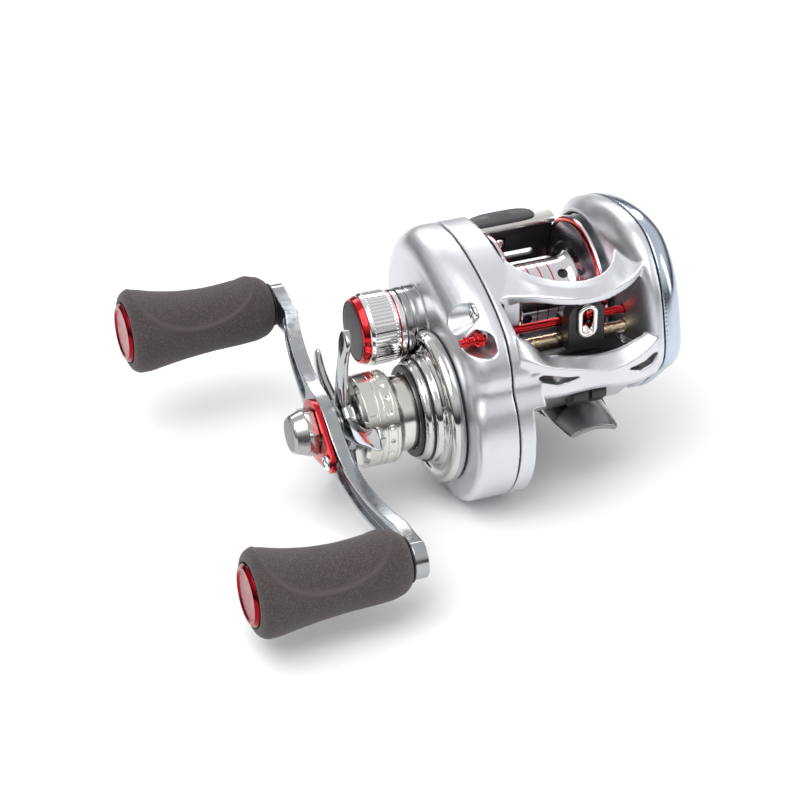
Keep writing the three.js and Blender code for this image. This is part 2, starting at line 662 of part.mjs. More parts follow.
// Double crank arm: an S in plan with round ends, which are swept towards the reel and
// lie flat under the knobs. It has a bore at the hub and one for each knob pin.
function makeArm() {
  const steps = 26;
  const sway = 2.6;
  const end = 4.6;
  const tip = KNOB_ARM + end * 0.96;
  const blank = new THREE.BoxGeometry(ARM_THICK, 2 * tip, 2, 1, steps, 1);
  const p = blank.attributes.position;
  for (let i = 0; i < p.count; i += 1) {
    const s = p.getY(i);
    const past = Math.max(0, Math.abs(s) - KNOB_ARM);
    const hub = 3.4 * Math.exp(-((s / 9) ** 2));
    const swell = 1.6 * Math.min(1, Math.abs(s) / KNOB_ARM) ** 6;
    const half = (3.0 + hub + swell) * Math.sqrt(1 - (past / end) ** 2);
    const along = Math.min(1, Math.abs(s) / (KNOB_ARM - 9.5));
    p.setX(i, p.getX(i) + ARM_OUT + ARM_THICK / 2 + ARM_SWEEP * along ** 2.6);
    p.setZ(i, p.getZ(i) * half + sway * Math.sin(Math.PI * Math.max(-1, Math.min(1, s / KNOB_ARM))));
  }
  const bores = [[-KNOB_ARM, 1.6], [0, 2.1], [KNOB_ARM, 1.6]];
  return cut(blank, ...bores.map(([y, r]) => rod(-65, -45, r, { y, z: 0 }, 12)));
}

function makeHandle() {
  const handle = new THREE.Group();
  handle.position.set(0, MAIN.y, MAIN.z);
  handle.rotation.x = HANDLE_ANGLE;
  aboutSpool.add(handle);
  add('handle_arm', makeArm(), 'gunmetal', handle);
  const outline = [...arc(0, 0, 7.2, 100, -100, 10), [-11.4, -4.0], [-13.0, -2.0], [-13.0, 0.6], [-11.4, 2.4]];
  const retainer = shapeOf(outline);
  const bore = arc(0, 0, 2.2, 0, 330, 11);
  retainer.holes.push(new THREE.Path(bore.map(([a, b]) => new THREE.Vector2(a, b))));
  const screwHole = arc(-10.4, -0.8, 1.0, 0, 315, 7);
  retainer.holes.push(new THREE.Path(screwHole.map(([a, b]) => new THREE.Vector2(a, b))));
  add('handle_retainer_plate', alongX(retainer, ARM_OUT - 1.4, ARM_OUT - GAP), 'red', handle);
  const hex = alongX(arc(0, 0, 5.9, 30, 330, 5), -62.4, ARM_OUT - 1.4 - GAP);
  const cap = turned([[-65.6, 0], [-65.6, 4.3], [-62.3, 5.0], [-62.3, 0]], SPOOL_AXIS, 20);
  add('handle_nut', cut(joined(hex, cap), rod(-63.0, -55, 2.2, SPOOL_AXIS, 16)), 'steel', handle);
  const screwAxis = { y: -10.4, z: -0.8 };
  add('retainer_screw', turned([
    [-61.2, 0], [-61.2, 1.6], [-60.2, 1.9], [-60.2, 0.8], [-58.9, 0.8], [-58.9, 0],
  ], screwAxis, 12), 'chrome', handle);
  for (const [side, s] of [['upper', KNOB_ARM], ['lower', -KNOB_ARM]]) {
    makeKnob(side, { y: s, z: 0 }, handle);
  }
}

function makeKnob(side, axis, handle) {
  const armFace = ARM_OUT + ARM_SWEEP;
  add(`knob_pin_${side}`, turned([
    [-88.6, 0], [-88.6, PIN_R], [armFace - GAP, PIN_R], [armFace - GAP, 1.5],
    [armFace + ARM_THICK - 0.4, 1.5], [armFace + ARM_THICK - 0.4, 0],
  ], axis, 16), 'steel', handle);
  const bore = PIN_R + FIT;
  add(`handle_knob_${side}`, turned([
    [KNOB_IN, bore], [KNOB_IN, 5.2], [-56.4, 7.0], [-59.5, 7.8], [-63.5, 7.6], [-70.0, 7.4], [-76.0, 8.1],
    [-82.0, 9.3], [-87.6, 10.1], [-89.6, 9.6], [KNOB_OUT, 8.4], [KNOB_OUT, 7.2], [-88.9, 7.2], [-88.9, bore],
  ], axis, 18), 'foam', handle);
  add(`knob_cap_${side}`, turned([[-91.1, 0], [-91.1, 6.0], [-90.4, 6.9], [-89.2, 6.9], [-89.2, 0]], axis, 16),
    'red', handle);
}

// ---------------------------------------------------------------- cast control

function makeCastControl() {
  add('cast_control_collar', ring(-34.2, COVER_OUT - GAP, 7.5, 8.2), 'dark');
  add('cast_control_cap', turned([
    [-34.6, 7.4], [-34.6, 8.1], [-35.8, 8.1], [-36.4, 8.5], [-42.9, 8.5], [-43.3, 8.1], [-43.3, 0],
    [-37.2, 0], [-37.2, 5.0], [-35.8, 7.4],
  ], SPOOL_AXIS, 24), 'chrome');
  add('cast_control_red_ring', ring(-44.9, -43.6, 6.9, 7.9, SPOOL_AXIS, 24), 'red');
  add('cast_control_end_disc', rod(-45.0, -43.6, 6.6, SPOOL_AXIS, 24), 'dark');
}

// ---------------------------------------------------------------- level wind

function idlerAxis() {
  const reach = (WIND_TEETH.drive + WIND_TEETH.idler) * WIND_MODULE / 2;
  const rest = (WIND_TEETH.idler + WIND_TEETH.worm) * WIND_MODULE / 2;
  const span = Math.hypot(WORM.y - MAIN.y, WORM.z - MAIN.z);
  const u = { y: (WORM.y - MAIN.y) / span, z: (WORM.z - MAIN.z) / span };
  const along = (span ** 2 + reach ** 2 - rest ** 2) / (2 * span);
  const off = Math.sqrt(reach ** 2 - along ** 2);
  return { y: MAIN.y + u.y * along - u.z * off, z: MAIN.z + u.z * along + u.y * off };
}

// Turn, in teeth, that sets a tooth space of the second gear on a tooth of the first.
function meshPhase(first, second, firstTeeth, secondTeeth, firstPhase) {
  const toSecond = Math.atan2(second.z - first.z, second.y - first.y) / (2 * Math.PI);
  const toFirst = toSecond + 0.5;
  const atMesh = firstTeeth * toSecond - firstPhase;
  return secondTeeth * toFirst + atMesh + 0.5;
}

function makeLevelWind() {
  const idler = idlerAxis();
  const { drive, idler: middle, worm } = WIND_TEETH;
  const x0 = -18.4;
  const x1 = -16.8;
  add('level_wind_drive_gear', gear(drive, WIND_MODULE, x0, x1, 2.7, 0).translate(0, MAIN.y, MAIN.z), 'black');
  const p1 = meshPhase(MAIN, idler, drive, middle, 0);
  add('idler_gear', gear(middle, WIND_MODULE, x0, x1, 1.2 + FIT, p1 % 1).translate(0, idler.y, idler.z), 'black');
  const p2 = meshPhase(idler, WORM, middle, worm, p1);
  add('worm_gear', gear(worm, WIND_MODULE, x0, x1, 1.25, p2 % 1).translate(0, WORM.y, WORM.z), 'black');
  add('worm_shaft', turned([
    [-18.7, 0], [-18.7, 1.1], [-14.8, 1.1], [-14.8, WORM.r], [15.2, WORM.r], [15.2, 0],
  ], WORM, 16), 'brass');
  add('stabiliser_rod', rod(-15.6, 15.6, ROD.r, ROD, 12), 'red');
  const trough = [
    [-24.4, -3.6], [-18.2, -3.6], [-17.7, -1.8], [-18.3, -1.8], [-18.8, -2.8], [-23.8, -2.8],
    [-24.4, -1.8], [-25.0, -1.8],
  ];
  add('worm_guard', alongX(trough, -12.1, 12.1), 'dark');
}

// Stadium outline in (x, z), taller than wide.
function stadium(cx, cz, halfWidth, halfHeight, steps = 5) {
  const straight = halfHeight - halfWidth;
  const top = arc(cx, cz + straight, halfWidth, 0, 180, steps);
  const bottom = arc(cx, cz - straight, halfWidth, 180, 360, steps);
  return [...top, ...bottom];
}

// Block that runs on the stabiliser rod and the worm shaft and carries the line eyelet.
function makeLineGuide() {
  const x0 = GUIDE_X - 4.4;
  const x1 = GUIDE_X + 4.4;
  const eyeZ = 6.9;
  const block = alongX([
    [-25.4, -1.4], [-18.8, -1.4], [-18.2, -0.6], [-18.2, 6.2], [-22.0, 6.6], [-22.0, 11.2],
    [-22.6, 11.7], [-24.6, 11.7], [-25.4, 10.8],
  ], x0, x1);
  const eye = stadium(GUIDE_X, eyeZ, 1.9, 3.7);
  const bores = [
    rod(-20, 20, ROD.r + FIT, ROD, 12),
    rod(-20, 20, WORM.r + FIT, WORM, 16),
    alongY(eye, -30, -21),
    rod(GUIDE_X - 1.25, GUIDE_X + 1.25, 1.2, { y: WORM.y, z: -1.6 }, 12),
    box(GUIDE_X - 1.3, GUIDE_X + 1.3, WORM.y - 1.3, WORM.y + 1.3, -3, -0.2),
  ];
  add('line_guide', cut(block, ...bores), 'black');
  const outer = alongY(stadium(GUIDE_X, eyeZ, 2.5, 4.3), -26.5, -25.7);
  const sleeve = alongY(stadium(GUIDE_X, eyeZ, 1.75, 3.55), -25.8, -22.2);
  const hole = alongY(stadium(GUIDE_X, eyeZ, 1.25, 3.0), -30, -20);
  add('line_eyelet', cut(joined(outer, sleeve), hole), 'chrome');
  const stem = box(GUIDE_X - 1.1, GUIDE_X + 1.1, WORM.y - 1.1, WORM.y + 1.1, -1.5, -1.05);
  add('line_guide_pawl', stem, 'brass');
}

makeCovers();
makeFoot();
makeSpool();
makeBrake();
makePinion();
makeClutch();
makeThumbBar();
makeDrive();
makeBezel();
makeStar();
makeHandle();
makeCastControl();
makeLevelWind();
makeLineGuide();

export default reel;
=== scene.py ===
import json
import math

import bmesh
import bpy
import numpy as np
from mathutils import Matrix, Vector


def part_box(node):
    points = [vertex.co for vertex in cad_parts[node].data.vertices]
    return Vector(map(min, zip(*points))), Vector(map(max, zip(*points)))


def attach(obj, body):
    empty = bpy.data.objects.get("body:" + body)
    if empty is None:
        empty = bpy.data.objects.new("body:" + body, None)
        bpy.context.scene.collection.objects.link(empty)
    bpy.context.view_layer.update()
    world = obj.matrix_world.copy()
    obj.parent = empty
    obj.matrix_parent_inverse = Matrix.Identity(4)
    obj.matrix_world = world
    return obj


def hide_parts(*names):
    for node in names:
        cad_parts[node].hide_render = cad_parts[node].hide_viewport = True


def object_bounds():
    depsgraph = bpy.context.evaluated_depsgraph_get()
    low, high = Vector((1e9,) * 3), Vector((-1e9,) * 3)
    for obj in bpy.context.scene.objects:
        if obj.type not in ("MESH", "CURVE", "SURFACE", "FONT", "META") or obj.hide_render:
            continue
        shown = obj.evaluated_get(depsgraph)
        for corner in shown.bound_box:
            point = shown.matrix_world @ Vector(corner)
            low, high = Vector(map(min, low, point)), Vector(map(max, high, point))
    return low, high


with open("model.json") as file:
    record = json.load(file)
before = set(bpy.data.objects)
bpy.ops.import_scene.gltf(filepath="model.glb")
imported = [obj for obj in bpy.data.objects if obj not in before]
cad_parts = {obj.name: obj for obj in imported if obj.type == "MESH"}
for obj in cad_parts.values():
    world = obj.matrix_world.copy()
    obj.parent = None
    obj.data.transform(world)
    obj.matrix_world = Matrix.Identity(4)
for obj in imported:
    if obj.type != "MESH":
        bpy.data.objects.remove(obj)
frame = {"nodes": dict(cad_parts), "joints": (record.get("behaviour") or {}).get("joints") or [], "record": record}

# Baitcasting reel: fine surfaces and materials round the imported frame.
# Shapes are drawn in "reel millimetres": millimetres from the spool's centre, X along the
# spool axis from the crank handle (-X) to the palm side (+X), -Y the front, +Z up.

CAD_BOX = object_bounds()
MM = 0.001
JOINTS = {joint["name"]: joint for joint in frame["joints"]}
CENTRE = Vector(JOINTS["spool_spin"]["pos_m"])
SPOOL = (0.0, 0.0)
ROD = (-20.3, 4.7)
# Mesh attribute that carries a painted highlight: lighter foam colour along the knob scoop's raised crease.
CREASE_HIGHLIGHT = "painted_crease_highlight"


def in_reel(point):
    """A point of the frame, in metres, in reel millimetres."""
    return (Vector(point) - CENTRE) / MM


def joint_axis(name):
    """(y, z) of a joint's axis."""
    point = in_reel(JOINTS[name]["pos_m"])
    return point.y, point.z


def corners(node):
    """Lowest and highest corner of a CAD node."""
    low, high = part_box(node)
    return in_reel(low), in_reel(high)


def across(node):
    """(lowest, highest) x of a CAD node."""
    low, high = corners(node)
    return low.x, high.x


MAIN = joint_axis("handle_turn")
WORM = joint_axis("worm_spin")
KNOBS = {"upper": joint_axis("knob_upper_spin"), "lower": joint_axis("knob_lower_spin")}
HANDLE_TURN = math.atan2(KNOBS["upper"][1] - MAIN[1], KNOBS["upper"][0] - MAIN[0])
KNOB_ARM = math.dist(KNOBS["upper"], MAIN)


# ---- outlines and solids
# A solid is (points, faces): an n x 3 array in reel millimetres and lists of indices.

def arc(centre, radius, start, stop, steps):
    turns = np.radians(np.linspace(start, stop, steps + 1))
    return [(centre[0] + radius * math.cos(t), centre[1] + radius * math.sin(t)) for t in turns]


def smooth_loop(points, steps):
    """Closed Catmull-Rom curve through the points."""
    points = np.array(points, float)
    before = np.roll(points, 1, axis=0)
    after = np.roll(points, -1, axis=0)
    beyond = np.roll(points, -2, axis=0)
    curve = []
    for a, b, c, d in zip(before, points, after, beyond):
        for t in np.arange(steps) / steps:
            curve.append(0.5 * (2 * b + (c - a) * t + (2 * a - 5 * b + 4 * c - d) * t ** 2
                                + (3 * b - a - 3 * c + d) * t ** 3))
    return np.array(curve)


def smooth_line(x, xs, values):
    """Smooth value at x of a curve through (xs, values), for x in or near their range."""
    xs = np.array(xs, float)
    values = np.array(values, float)
    slopes = np.gradient(values, xs)
    k = int(np.clip(np.searchsorted(xs, x) - 1, 0, len(xs) - 2))
    width = xs[k + 1] - xs[k]
    t = (x - xs[k]) / width
    return float((1 + 2 * t) * (1 - t) ** 2 * values[k] + t * (1 - t) ** 2 * width * slopes[k]
                 + t * t * (3 - 2 * t) * values[k + 1] - t * t * (1 - t) * width * slopes[k + 1])


def outward(loop):
    """Unit normals of a closed anticlockwise loop."""
    along = np.roll(loop, -1, axis=0) - np.roll(loop, 1, axis=0)
    along /= np.linalg.norm(along, axis=1)[:, None]
    return np.stack([along[:, 1], -along[:, 0]], axis=1)


def inset(loop, wall):
    """The loop moved inwards by the thickness of a wall."""
    return loop - outward(loop) * wall


def eased(points, radius, closed=True):
    """Outline with each corner rounded by up to the radius."""
    rounded = []
    count = len(points)
    for i, point in enumerate(points):
        if not closed and i in (0, count - 1):
            rounded.append(point)
            continue
        p = np.array(point, float)
        a = np.array(points[i - 1], float)
        b = np.array(points[(i + 1) % count], float)
        reach = min(radius, 0.4 * np.linalg.norm(a - p), 0.4 * np.linalg.norm(b - p))
        start = p + (a - p) / max(np.linalg.norm(a - p), 1e-9) * reach
        stop = p + (b - p) / max(np.linalg.norm(b - p), 1e-9) * reach
        for t in (0.0, 0.25, 0.5, 0.75, 1.0):
            rounded.append(tuple((1 - t) ** 2 * start + 2 * t * (1 - t) * p + t * t * stop))
    return rounded


def finer(points, step):
    """Open line with points added so that none are further apart than the step."""
    line = [points[0]]
    for a, b in zip(points, points[1:]):
        parts = max(1, math.ceil(math.dist(a, b) / step))
        for k in range(1, parts + 1):
            line.append((a[0] + (b[0] - a[0]) * k / parts, a[1] + (b[1] - a[1]) * k / parts))
    return line


def loft(sections, closed_ends=True):
    """Solid through loops of equal numbers of 3-D points."""
    rows = np.array(sections, float)
    count, around = rows.shape[:2]
    points = rows.reshape(-1, 3)
    faces = []
    for k in range(count - 1):
        for i in range(around):
            j = (i + 1) % around
            faces.append([k * around + i, k * around + j, (k + 1) * around + j, (k + 1) * around + i])
    if closed_ends:
        faces.append(list(range(around))[::-1])
        faces.append([(count - 1) * around + i for i in range(around)])
    else:
        for i in range(around):
            j = (i + 1) % around
            last = (count - 1) * around
            faces.append([last + i, last + j, j, i])
    return points, faces


def prism_x(outline, x0, x1):
    """Prism along X of an outline in (y, z)."""
    return loft([[(x, y, z) for y, z in outline] for x in (x0, x1)])


def prism_y(outline, y0, y1):
    """Prism along Y of an outline in (x, z)."""
    return loft([[(x, y, z) for x, z in outline] for y in (y0, y1)])


def prism_z(outline, z0, z1):
    """Prism along Z of an outline in (x, y)."""
    return loft([[(x, y, z) for x, y in outline] for z in (z0, z1)])


def block(x0, x1, y0, y1, z0, z1):
    return prism_z([(x0, y0), (x1, y0), (x1, y1), (x0, y1)], z0, z1)


def turned(profile, axis=SPOOL, segments=96, ease=0.12, step=None, shape=None):
    """Solid turned about an axis along X at (y, z), from a profile of (x, radius) points.
    A profile that doesn't begin and end on the axis closes on itself. shape(x, r, turn)
    gives the x and r of a point where the piece isn't round."""
    on_axis = profile[0][1] == 0 and profile[-1][1] == 0
    line = eased(profile, ease, closed=not on_axis)
    if step:
        line = finer(line if on_axis else line + [line[0]], step)
        line = line if on_axis else line[:-1]
    turns = 2 * np.pi * np.arange(segments) / segments
    sections = []
    for turn in turns:
        section = []
        for x, r in line:
            if shape and r > 0:
                x, r = shape(x, r, turn)
            section.append((x, axis[0] + r * math.cos(turn), axis[1] + r * math.sin(turn)))
        sections.append(section)
    rows = np.array(sections)
    count = len(line)
    faces = []
    for k in range(segments):
        k2 = (k + 1) % segments
        for i in range(count if not on_axis else count - 1):
            j = (i + 1) % count
            faces.append([k * count + i, k * count + j, k2 * count + j, k2 * count + i])
    return rows.reshape(-1, 3), faces


def rod(x0, x1, radius, axis=SPOOL, segments=64):
    return turned([(x0, 0), (x0, radius), (x1, radius), (x1, 0)], axis, segments)


def pillar(x, y, z0, z1, radius, segments=48):
    """Upright round rod."""
    circle = arc((x, y), radius, 0, 360 - 360 / segments, segments - 1)
    return prism_z(circle, z0, z1)


def spun(solid, turn, axis=SPOOL):
    """Solid turned about an axis along X."""
    points, faces = solid
    c, s = math.cos(turn), math.sin(turn)
    y = points[:, 1] - axis[0]
    z = points[:, 2] - axis[1]
    moved = np.stack([points[:, 0], axis[0] + c * y - s * z, axis[1] + s * y + c * z], axis=1)
    return moved, faces


# ---- meshes

def mesh_of(solid, name):
    """Clean mesh with its faces turned outwards, in reel millimetres."""
    points, faces = solid
    mesh = bpy.data.meshes.new(name)
    mesh.from_pydata([tuple(p) for p in points], [], faces)
    work = bmesh.new()
    work.from_mesh(mesh)
    bmesh.ops.remove_doubles(work, verts=work.verts, dist=1e-4)
    bmesh.ops.dissolve_degenerate(work, edges=work.edges, dist=1e-5)
    bmesh.ops.recalc_face_normals(work, faces=work.faces)
    if work.calc_volume(signed=True) < 0:
        bmesh.ops.reverse_faces(work, faces=work.faces)
    bmesh.ops.triangulate(work, faces=[f for f in work.faces if len(f.verts) > 4])
    work.to_mesh(mesh)
    work.free()
    return mesh


def with_modifiers(mesh, setups):
    """Mesh after a list of (modifier type, settings)."""
    holder = bpy.data.objects.new("work", mesh)
    bpy.context.scene.collection.objects.link(holder)
    for kind, settings in setups:
        modifier = holder.modifiers.new(kind, kind)
        for key, value in settings.items():
            setattr(modifier, key, value)
    graph = bpy.context.evaluated_depsgraph_get()
    result = bpy.data.meshes.new_from_object(holder.evaluated_get(graph))
    bpy.data.objects.remove(holder)
    return result


def combined(mesh, solids, operation):
    """Mesh joined with, or cut by, each solid."""
    holders = []
    setups = []
    for solid in solids:
        holder = bpy.data.objects.new("tool", mesh_of(solid, "tool"))
        bpy.context.scene.collection.objects.link(holder)
        holders.append(holder)
        setups.append(("BOOLEAN", {"operation": operation, "solver": "MANIFOLD", "object": holder}))
    result = with_modifiers(mesh, setups)
    for holder in holders:
        bpy.data.objects.remove(holder)
    return result


def joined(mesh, solids):
    return combined(mesh, solids, "UNION")


def cut(mesh, solids):
    return combined(mesh, solids, "DIFFERENCE")


def common(solid, other):
    """Mesh of what two solids share."""
    return combined(mesh_of(solid, "part"), [other], "INTERSECT")


def built(parts, cutters=()):
    mesh = mesh_of(parts[0], "part")
    if len(parts) > 1:
        mesh = joined(mesh, parts[1:])
    if cutters:
        mesh = cut(mesh, cutters)
    return mesh


def cast(mesh, voxel, rounds, keep=1):
    """Surface of a casting or a polished piece: every edge softened, and the faces thinned out
    to the share that is kept."""
    return with_modifiers(mesh, [
        ("REMESH", {"mode": "VOXEL", "voxel_size": voxel}),
        ("SMOOTH", {"factor": 0.5, "iterations": rounds}),
    ] + ([("DECIMATE", {"ratio": keep})] if keep < 1 else []))


def bevelled(mesh, width, angle=35):
    return with_modifiers(mesh, [
        ("BEVEL", {"width": width, "segments": 2, "limit_method": "ANGLE",
                   "angle_limit": math.radians(angle)}),
    ])


def piece(name, mesh, body, slot, replaces=(), look=None, sharp=38):
    """Puts a mesh or solid drawn in reel millimetres into the frame, on a body, in the look of
    its slot unless another is named. What would pass the CAD box is pressed flat on its face."""
    if isinstance(mesh, tuple):
        mesh = mesh_of(mesh, name)
    mesh.name = name
    mesh.transform(Matrix.Translation(CENTRE) @ Matrix.Scale(MM, 4))
    places = np.empty(len(mesh.vertices) * 3, np.float32)
    mesh.vertices.foreach_get("co", places)
    low, high = np.array(CAD_BOX, np.float32)
    mesh.vertices.foreach_set("co", np.clip(places.reshape(-1, 3), low, high).ravel())
    mesh.update()
    mesh.polygons.foreach_set("use_smooth", [True] * len(mesh.polygons))
    mesh.set_sharp_from_angle(angle=math.radians(sharp))
    mesh.materials.clear()
    mesh.materials.append(LOOKS[look or SLOT_LOOKS[slot]])
    made = bpy.data.objects.new(name, mesh)
    bpy.context.scene.collection.objects.link(made)
    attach(made, body)
    if replaces:
        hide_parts(*replaces)
    return made


# ---- materials

def add_node(tree, kind, **inputs):
    """New shader node. Each input is a plain value or another node's output."""
    node = tree.nodes.new("ShaderNode" + kind)
    for name, value in inputs.items():
        socket = node.inputs[name.replace("_", " ")]
        if isinstance(value, bpy.types.NodeSocket):
            tree.links.new(value, socket)
        else:
            socket.default_value = value
    return node


class Look:
    """A material whose colour, roughness and bump come from procedural noise."""

    def __init__(self, name, color, metallic, roughness):
        self.material = bpy.data.materials.new(name)
        self.material.use_nodes = True
        self.tree = self.material.node_tree
        self.shader = self.tree.nodes["Principled BSDF"]
        self.shader.inputs["Base Color"].default_value = (*color, 1)
        self.shader.inputs["Metallic"].default_value = metallic
        self.shader.inputs["Roughness"].default_value = roughness
        self.color = color
        self.roughness = roughness
        self.place = self.add("TexCoord").outputs["Object"]
        self.normal = None

    def add(self, kind, **inputs):
        return add_node(self.tree, kind, **inputs)

    def lead(self, value, name):
        """Drives an input of the shader."""
        self.tree.links.new(value, self.shader.inputs[name])

    def noise(self, scale, detail=3.0, where=None):
        return self.add("TexNoise", Scale=scale, Detail=detail, Vector=where or self.place).outputs["Fac"]

    def spread(self, value, low, high, start=0.3, stop=0.7):
        """Value from start to stop, brought to low to high."""
        node = self.add("MapRange", From_Min=start, From_Max=stop, To_Min=low, To_Max=high, Value=value)
        return node.outputs["Result"]

    def vary_roughness(self, value, amount):
        rough = self.spread(value, max(0.02, self.roughness - amount), self.roughness + amount)
        self.lead(rough, "Roughness")

    def vary_color(self, value, other, start=0.3, stop=0.7):
        ramp = self.add("ValToRGB", Fac=value)
        ends = ((start, self.color), (stop, other))
        for element, (position, color) in zip(ramp.color_ramp.elements, ends):
            element.position = position
            element.color = (*color, 1)
        self.lead(ramp.outputs["Color"], "Base Color")

    def bump(self, value, height, strength=1.0):
        node = self.add("Bump", Distance=height, Strength=strength, Height=value)
        if self.normal:
            self.tree.links.new(self.normal, node.inputs["Normal"])
        self.normal = node.outputs["Normal"]
        self.lead(self.normal, "Normal")

    def turning(self, axis, scale):
        """Noise that runs in rings about an axis along X, as tool marks do."""
        shift = self.add("VectorMath")
        shift.operation = "SUBTRACT"
        shift.inputs[1].default_value = (0, CENTRE.y + axis[0] * MM, CENTRE.z + axis[1] * MM)
        self.tree.links.new(self.place, shift.inputs[0])
        split = self.add("SeparateXYZ", Vector=shift.outputs[0]).outputs
        flat = self.add("CombineXYZ", Y=split["Y"], Z=split["Z"])
        length = self.add("VectorMath")
        length.operation = "LENGTH"
        self.tree.links.new(flat.outputs[0], length.inputs[0])
        rings = self.add("CombineXYZ", X=split["X"], Y=length.outputs["Value"])
        return self.noise(scale, 2.0, rings.outputs[0])


def satin(name, color, roughness):
    look = Look(name, color, 1.0, roughness)
    look.vary_roughness(look.noise(900, 4), 0.035)
    look.vary_color(look.noise(140, 3), tuple(min(1, c * 1.05) for c in color))
    look.bump(look.noise(7000, 2), 6e-7)
    return look.material


def polished(name, color, roughness=0.08, axis=None):
    look = Look(name, color, 1.0, roughness)
    look.vary_roughness(look.noise(500, 5), roughness * 0.45)
    if axis:
        look.bump(look.turning(axis, 9000), 3e-6, 0.6)
    look.bump(look.noise(6000, 2), 8e-7, 0.5)
    return look.material


def machined(name, color, roughness, axis, depth=9e-6):
    look = Look(name, color, 1.0, roughness)
    rings = look.turning(axis, 7000)
    look.vary_roughness(rings, 0.08)
    look.bump(rings, depth)
    return look.material


def anodised(name, color, roughness=0.2, axis=None):
    look = Look(name, color, 1.0, roughness)
    look.vary_roughness(look.noise(1200, 4), 0.06)
    look.vary_color(look.noise(300, 3), tuple(c * 0.75 for c in color))
    if axis:
        look.bump(look.turning(axis, 8000), 4e-6)
    look.bump(look.noise(5000, 2), 1e-6, 0.5)
    look.shader.inputs["Coat Weight"].default_value = 0.35
    look.shader.inputs["Coat Roughness"].default_value = 0.08
    return look.material


def moulded(name, color, roughness, grain=2e-5, scale=4500):
    look = Look(name, color, 0.0, roughness)
    look.vary_roughness(look.noise(700, 3), 0.08)
    look.vary_color(look.noise(220, 4), tuple(c * 1.35 for c in color))
    look.bump(look.noise(scale, 3), grain)
    return look.material


def foam(name, color):
    """Dark foam, lighter in specks, and lighter again in a painted highlight along the crease that the mesh marks.
    """
    look = Look(name, color, 0.0, 0.92)
    fine = look.noise(2600, 4)
    cells = look.add("TexVoronoi", Scale=2600, Vector=look.place)
    look.vary_roughness(fine, 0.05)
    # Painted highlight: the crease attribute lightens the foam colour along the scoop's raised crease.
    painted_crease_highlight = look.add("Attribute")
    painted_crease_highlight.attribute_name = CREASE_HIGHLIGHT
    lighter = look.add("Math")
    lighter.operation = "MAXIMUM"
    look.tree.links.new(look.spread(fine, 0.0, 0.6, 0.46, 0.72), lighter.inputs[0])
    look.tree.links.new(painted_crease_highlight.outputs["Fac"], lighter.inputs[1])
    look.vary_color(lighter.outputs[0], (0.135, 0.108, 0.105), 0.0, 1.0)
    look.bump(cells.outputs["Distance"], 3e-5, 0.6)
    look.bump(look.noise(2200, 4), 2.5e-5, 0.6)
    look.shader.inputs["Sheen Weight"].default_value = 0.12
    look.shader.inputs["Sheen Roughness"].default_value = 0.6
    return look.material


LOOKS = {
    "satin": satin("pearl_silver", (0.66, 0.675, 0.70), 0.36),
    "palm": satin("palm_silver", (0.50, 0.56, 0.65), 0.2),
    "chrome": polished("chrome_plate", (0.83, 0.83, 0.84), 0.07),
    "chrome_main": polished("chrome_turned", (0.60, 0.60, 0.585), 0.09, MAIN),
    "chrome_cap": polished("cap_chrome", (0.84, 0.83, 0.84), 0.09, SPOOL),
    "red": anodised("red_anodised", (0.62, 0.012, 0.02), 0.2),
    "red_turned": anodised("red_turned", (0.66, 0.012, 0.018), 0.17, SPOOL),
    "cap_red": polished("cap_red", (0.26, 0.006, 0.012), 0.2),
    "black": moulded("black_moulded", (0.012, 0.012, 0.013), 0.38),
    "foot": polished("foot_grey", (0.26, 0.25, 0.26), 0.2),
    "collar": machined("collar_grey", (0.40, 0.40, 0.41), 0.16, SPOOL),
    "spool": polished("spool_silver", (0.74, 0.72, 0.76), 0.1, SPOOL),
    "flange": machined("flange_dark", (0.2, 0.185, 0.21), 0.24, SPOOL, 5e-6),
    "steel": machined("ground_steel", (0.56, 0.56, 0.57), 0.25, SPOOL),
    "nut": machined("brushed_nut", (0.44, 0.43, 0.42), 0.25, MAIN, 1.4e-5),
    "nut_face": machined("nut_face", (0.22, 0.21, 0.21), 0.32, MAIN),
    "brass": machined("worm_brass", (0.62, 0.50, 0.34), 0.24, WORM),
    "carbon": moulded("drag_carbon", (0.02, 0.02, 0.02), 0.6),
    "champagne": machined("champagne_satin", (0.70, 0.685, 0.645), 0.18, MAIN, 6e-6),
    "gunmetal": polished("gunmetal", (0.40, 0.42, 0.435), 0.19),
    "thumb": satin("thumb_champagne", (0.66, 0.64, 0.61), 0.2),
    "star": polished("star_chrome", (0.46, 0.47, 0.48), 0.13),
    "foam": foam("eva_foam", (0.043, 0.033, 0.033)),
    "pad": moulded("pad_rubber", (0.058, 0.056, 0.064), 0.45, 6e-6, 6000),
    "disc": machined("cap_disc", (0.10, 0.095, 0.105), 0.4, SPOOL),
    "eyelet": polished("eyelet_ring", (0.85, 0.83, 0.80), 0.06),
    # Painted shade: near-black stand-in for the shade inside holes and step corners.
    "dark": moulded("painted_recess_shade", (0.008, 0.008, 0.009), 0.5),
}

SLOT_LOOKS = {
    "satin_aluminium": "satin", "palm_cover_finish": "palm", "chrome": "chrome",
    "red_anodised": "red", "black_plastic": "black", "foot_metal": "foot",
    "spool_aluminium": "spool", "steel": "steel", "brass": "brass", "carbon": "carbon",
    "champagne_aluminium": "champagne", "gunmetal_aluminium": "gunmetal", "eva_foam": "foam",
    "pad_rubber": "pad", "cap_disc": "disc", "eyelet_ring": "eyelet",
}


def dress_frame_nodes():
    """Each CAD node takes the material of its slot."""
    for row in frame["record"]["subparts"]:
        node = frame["nodes"][row["node"]]
        node.data.materials.clear()
        node.data.materials.append(LOOKS[SLOT_LOOKS[row["material_slot"]]])
    frame["nodes"]["brake_housing"].data.materials[0] = LOOKS["satin"]


# ---- handle

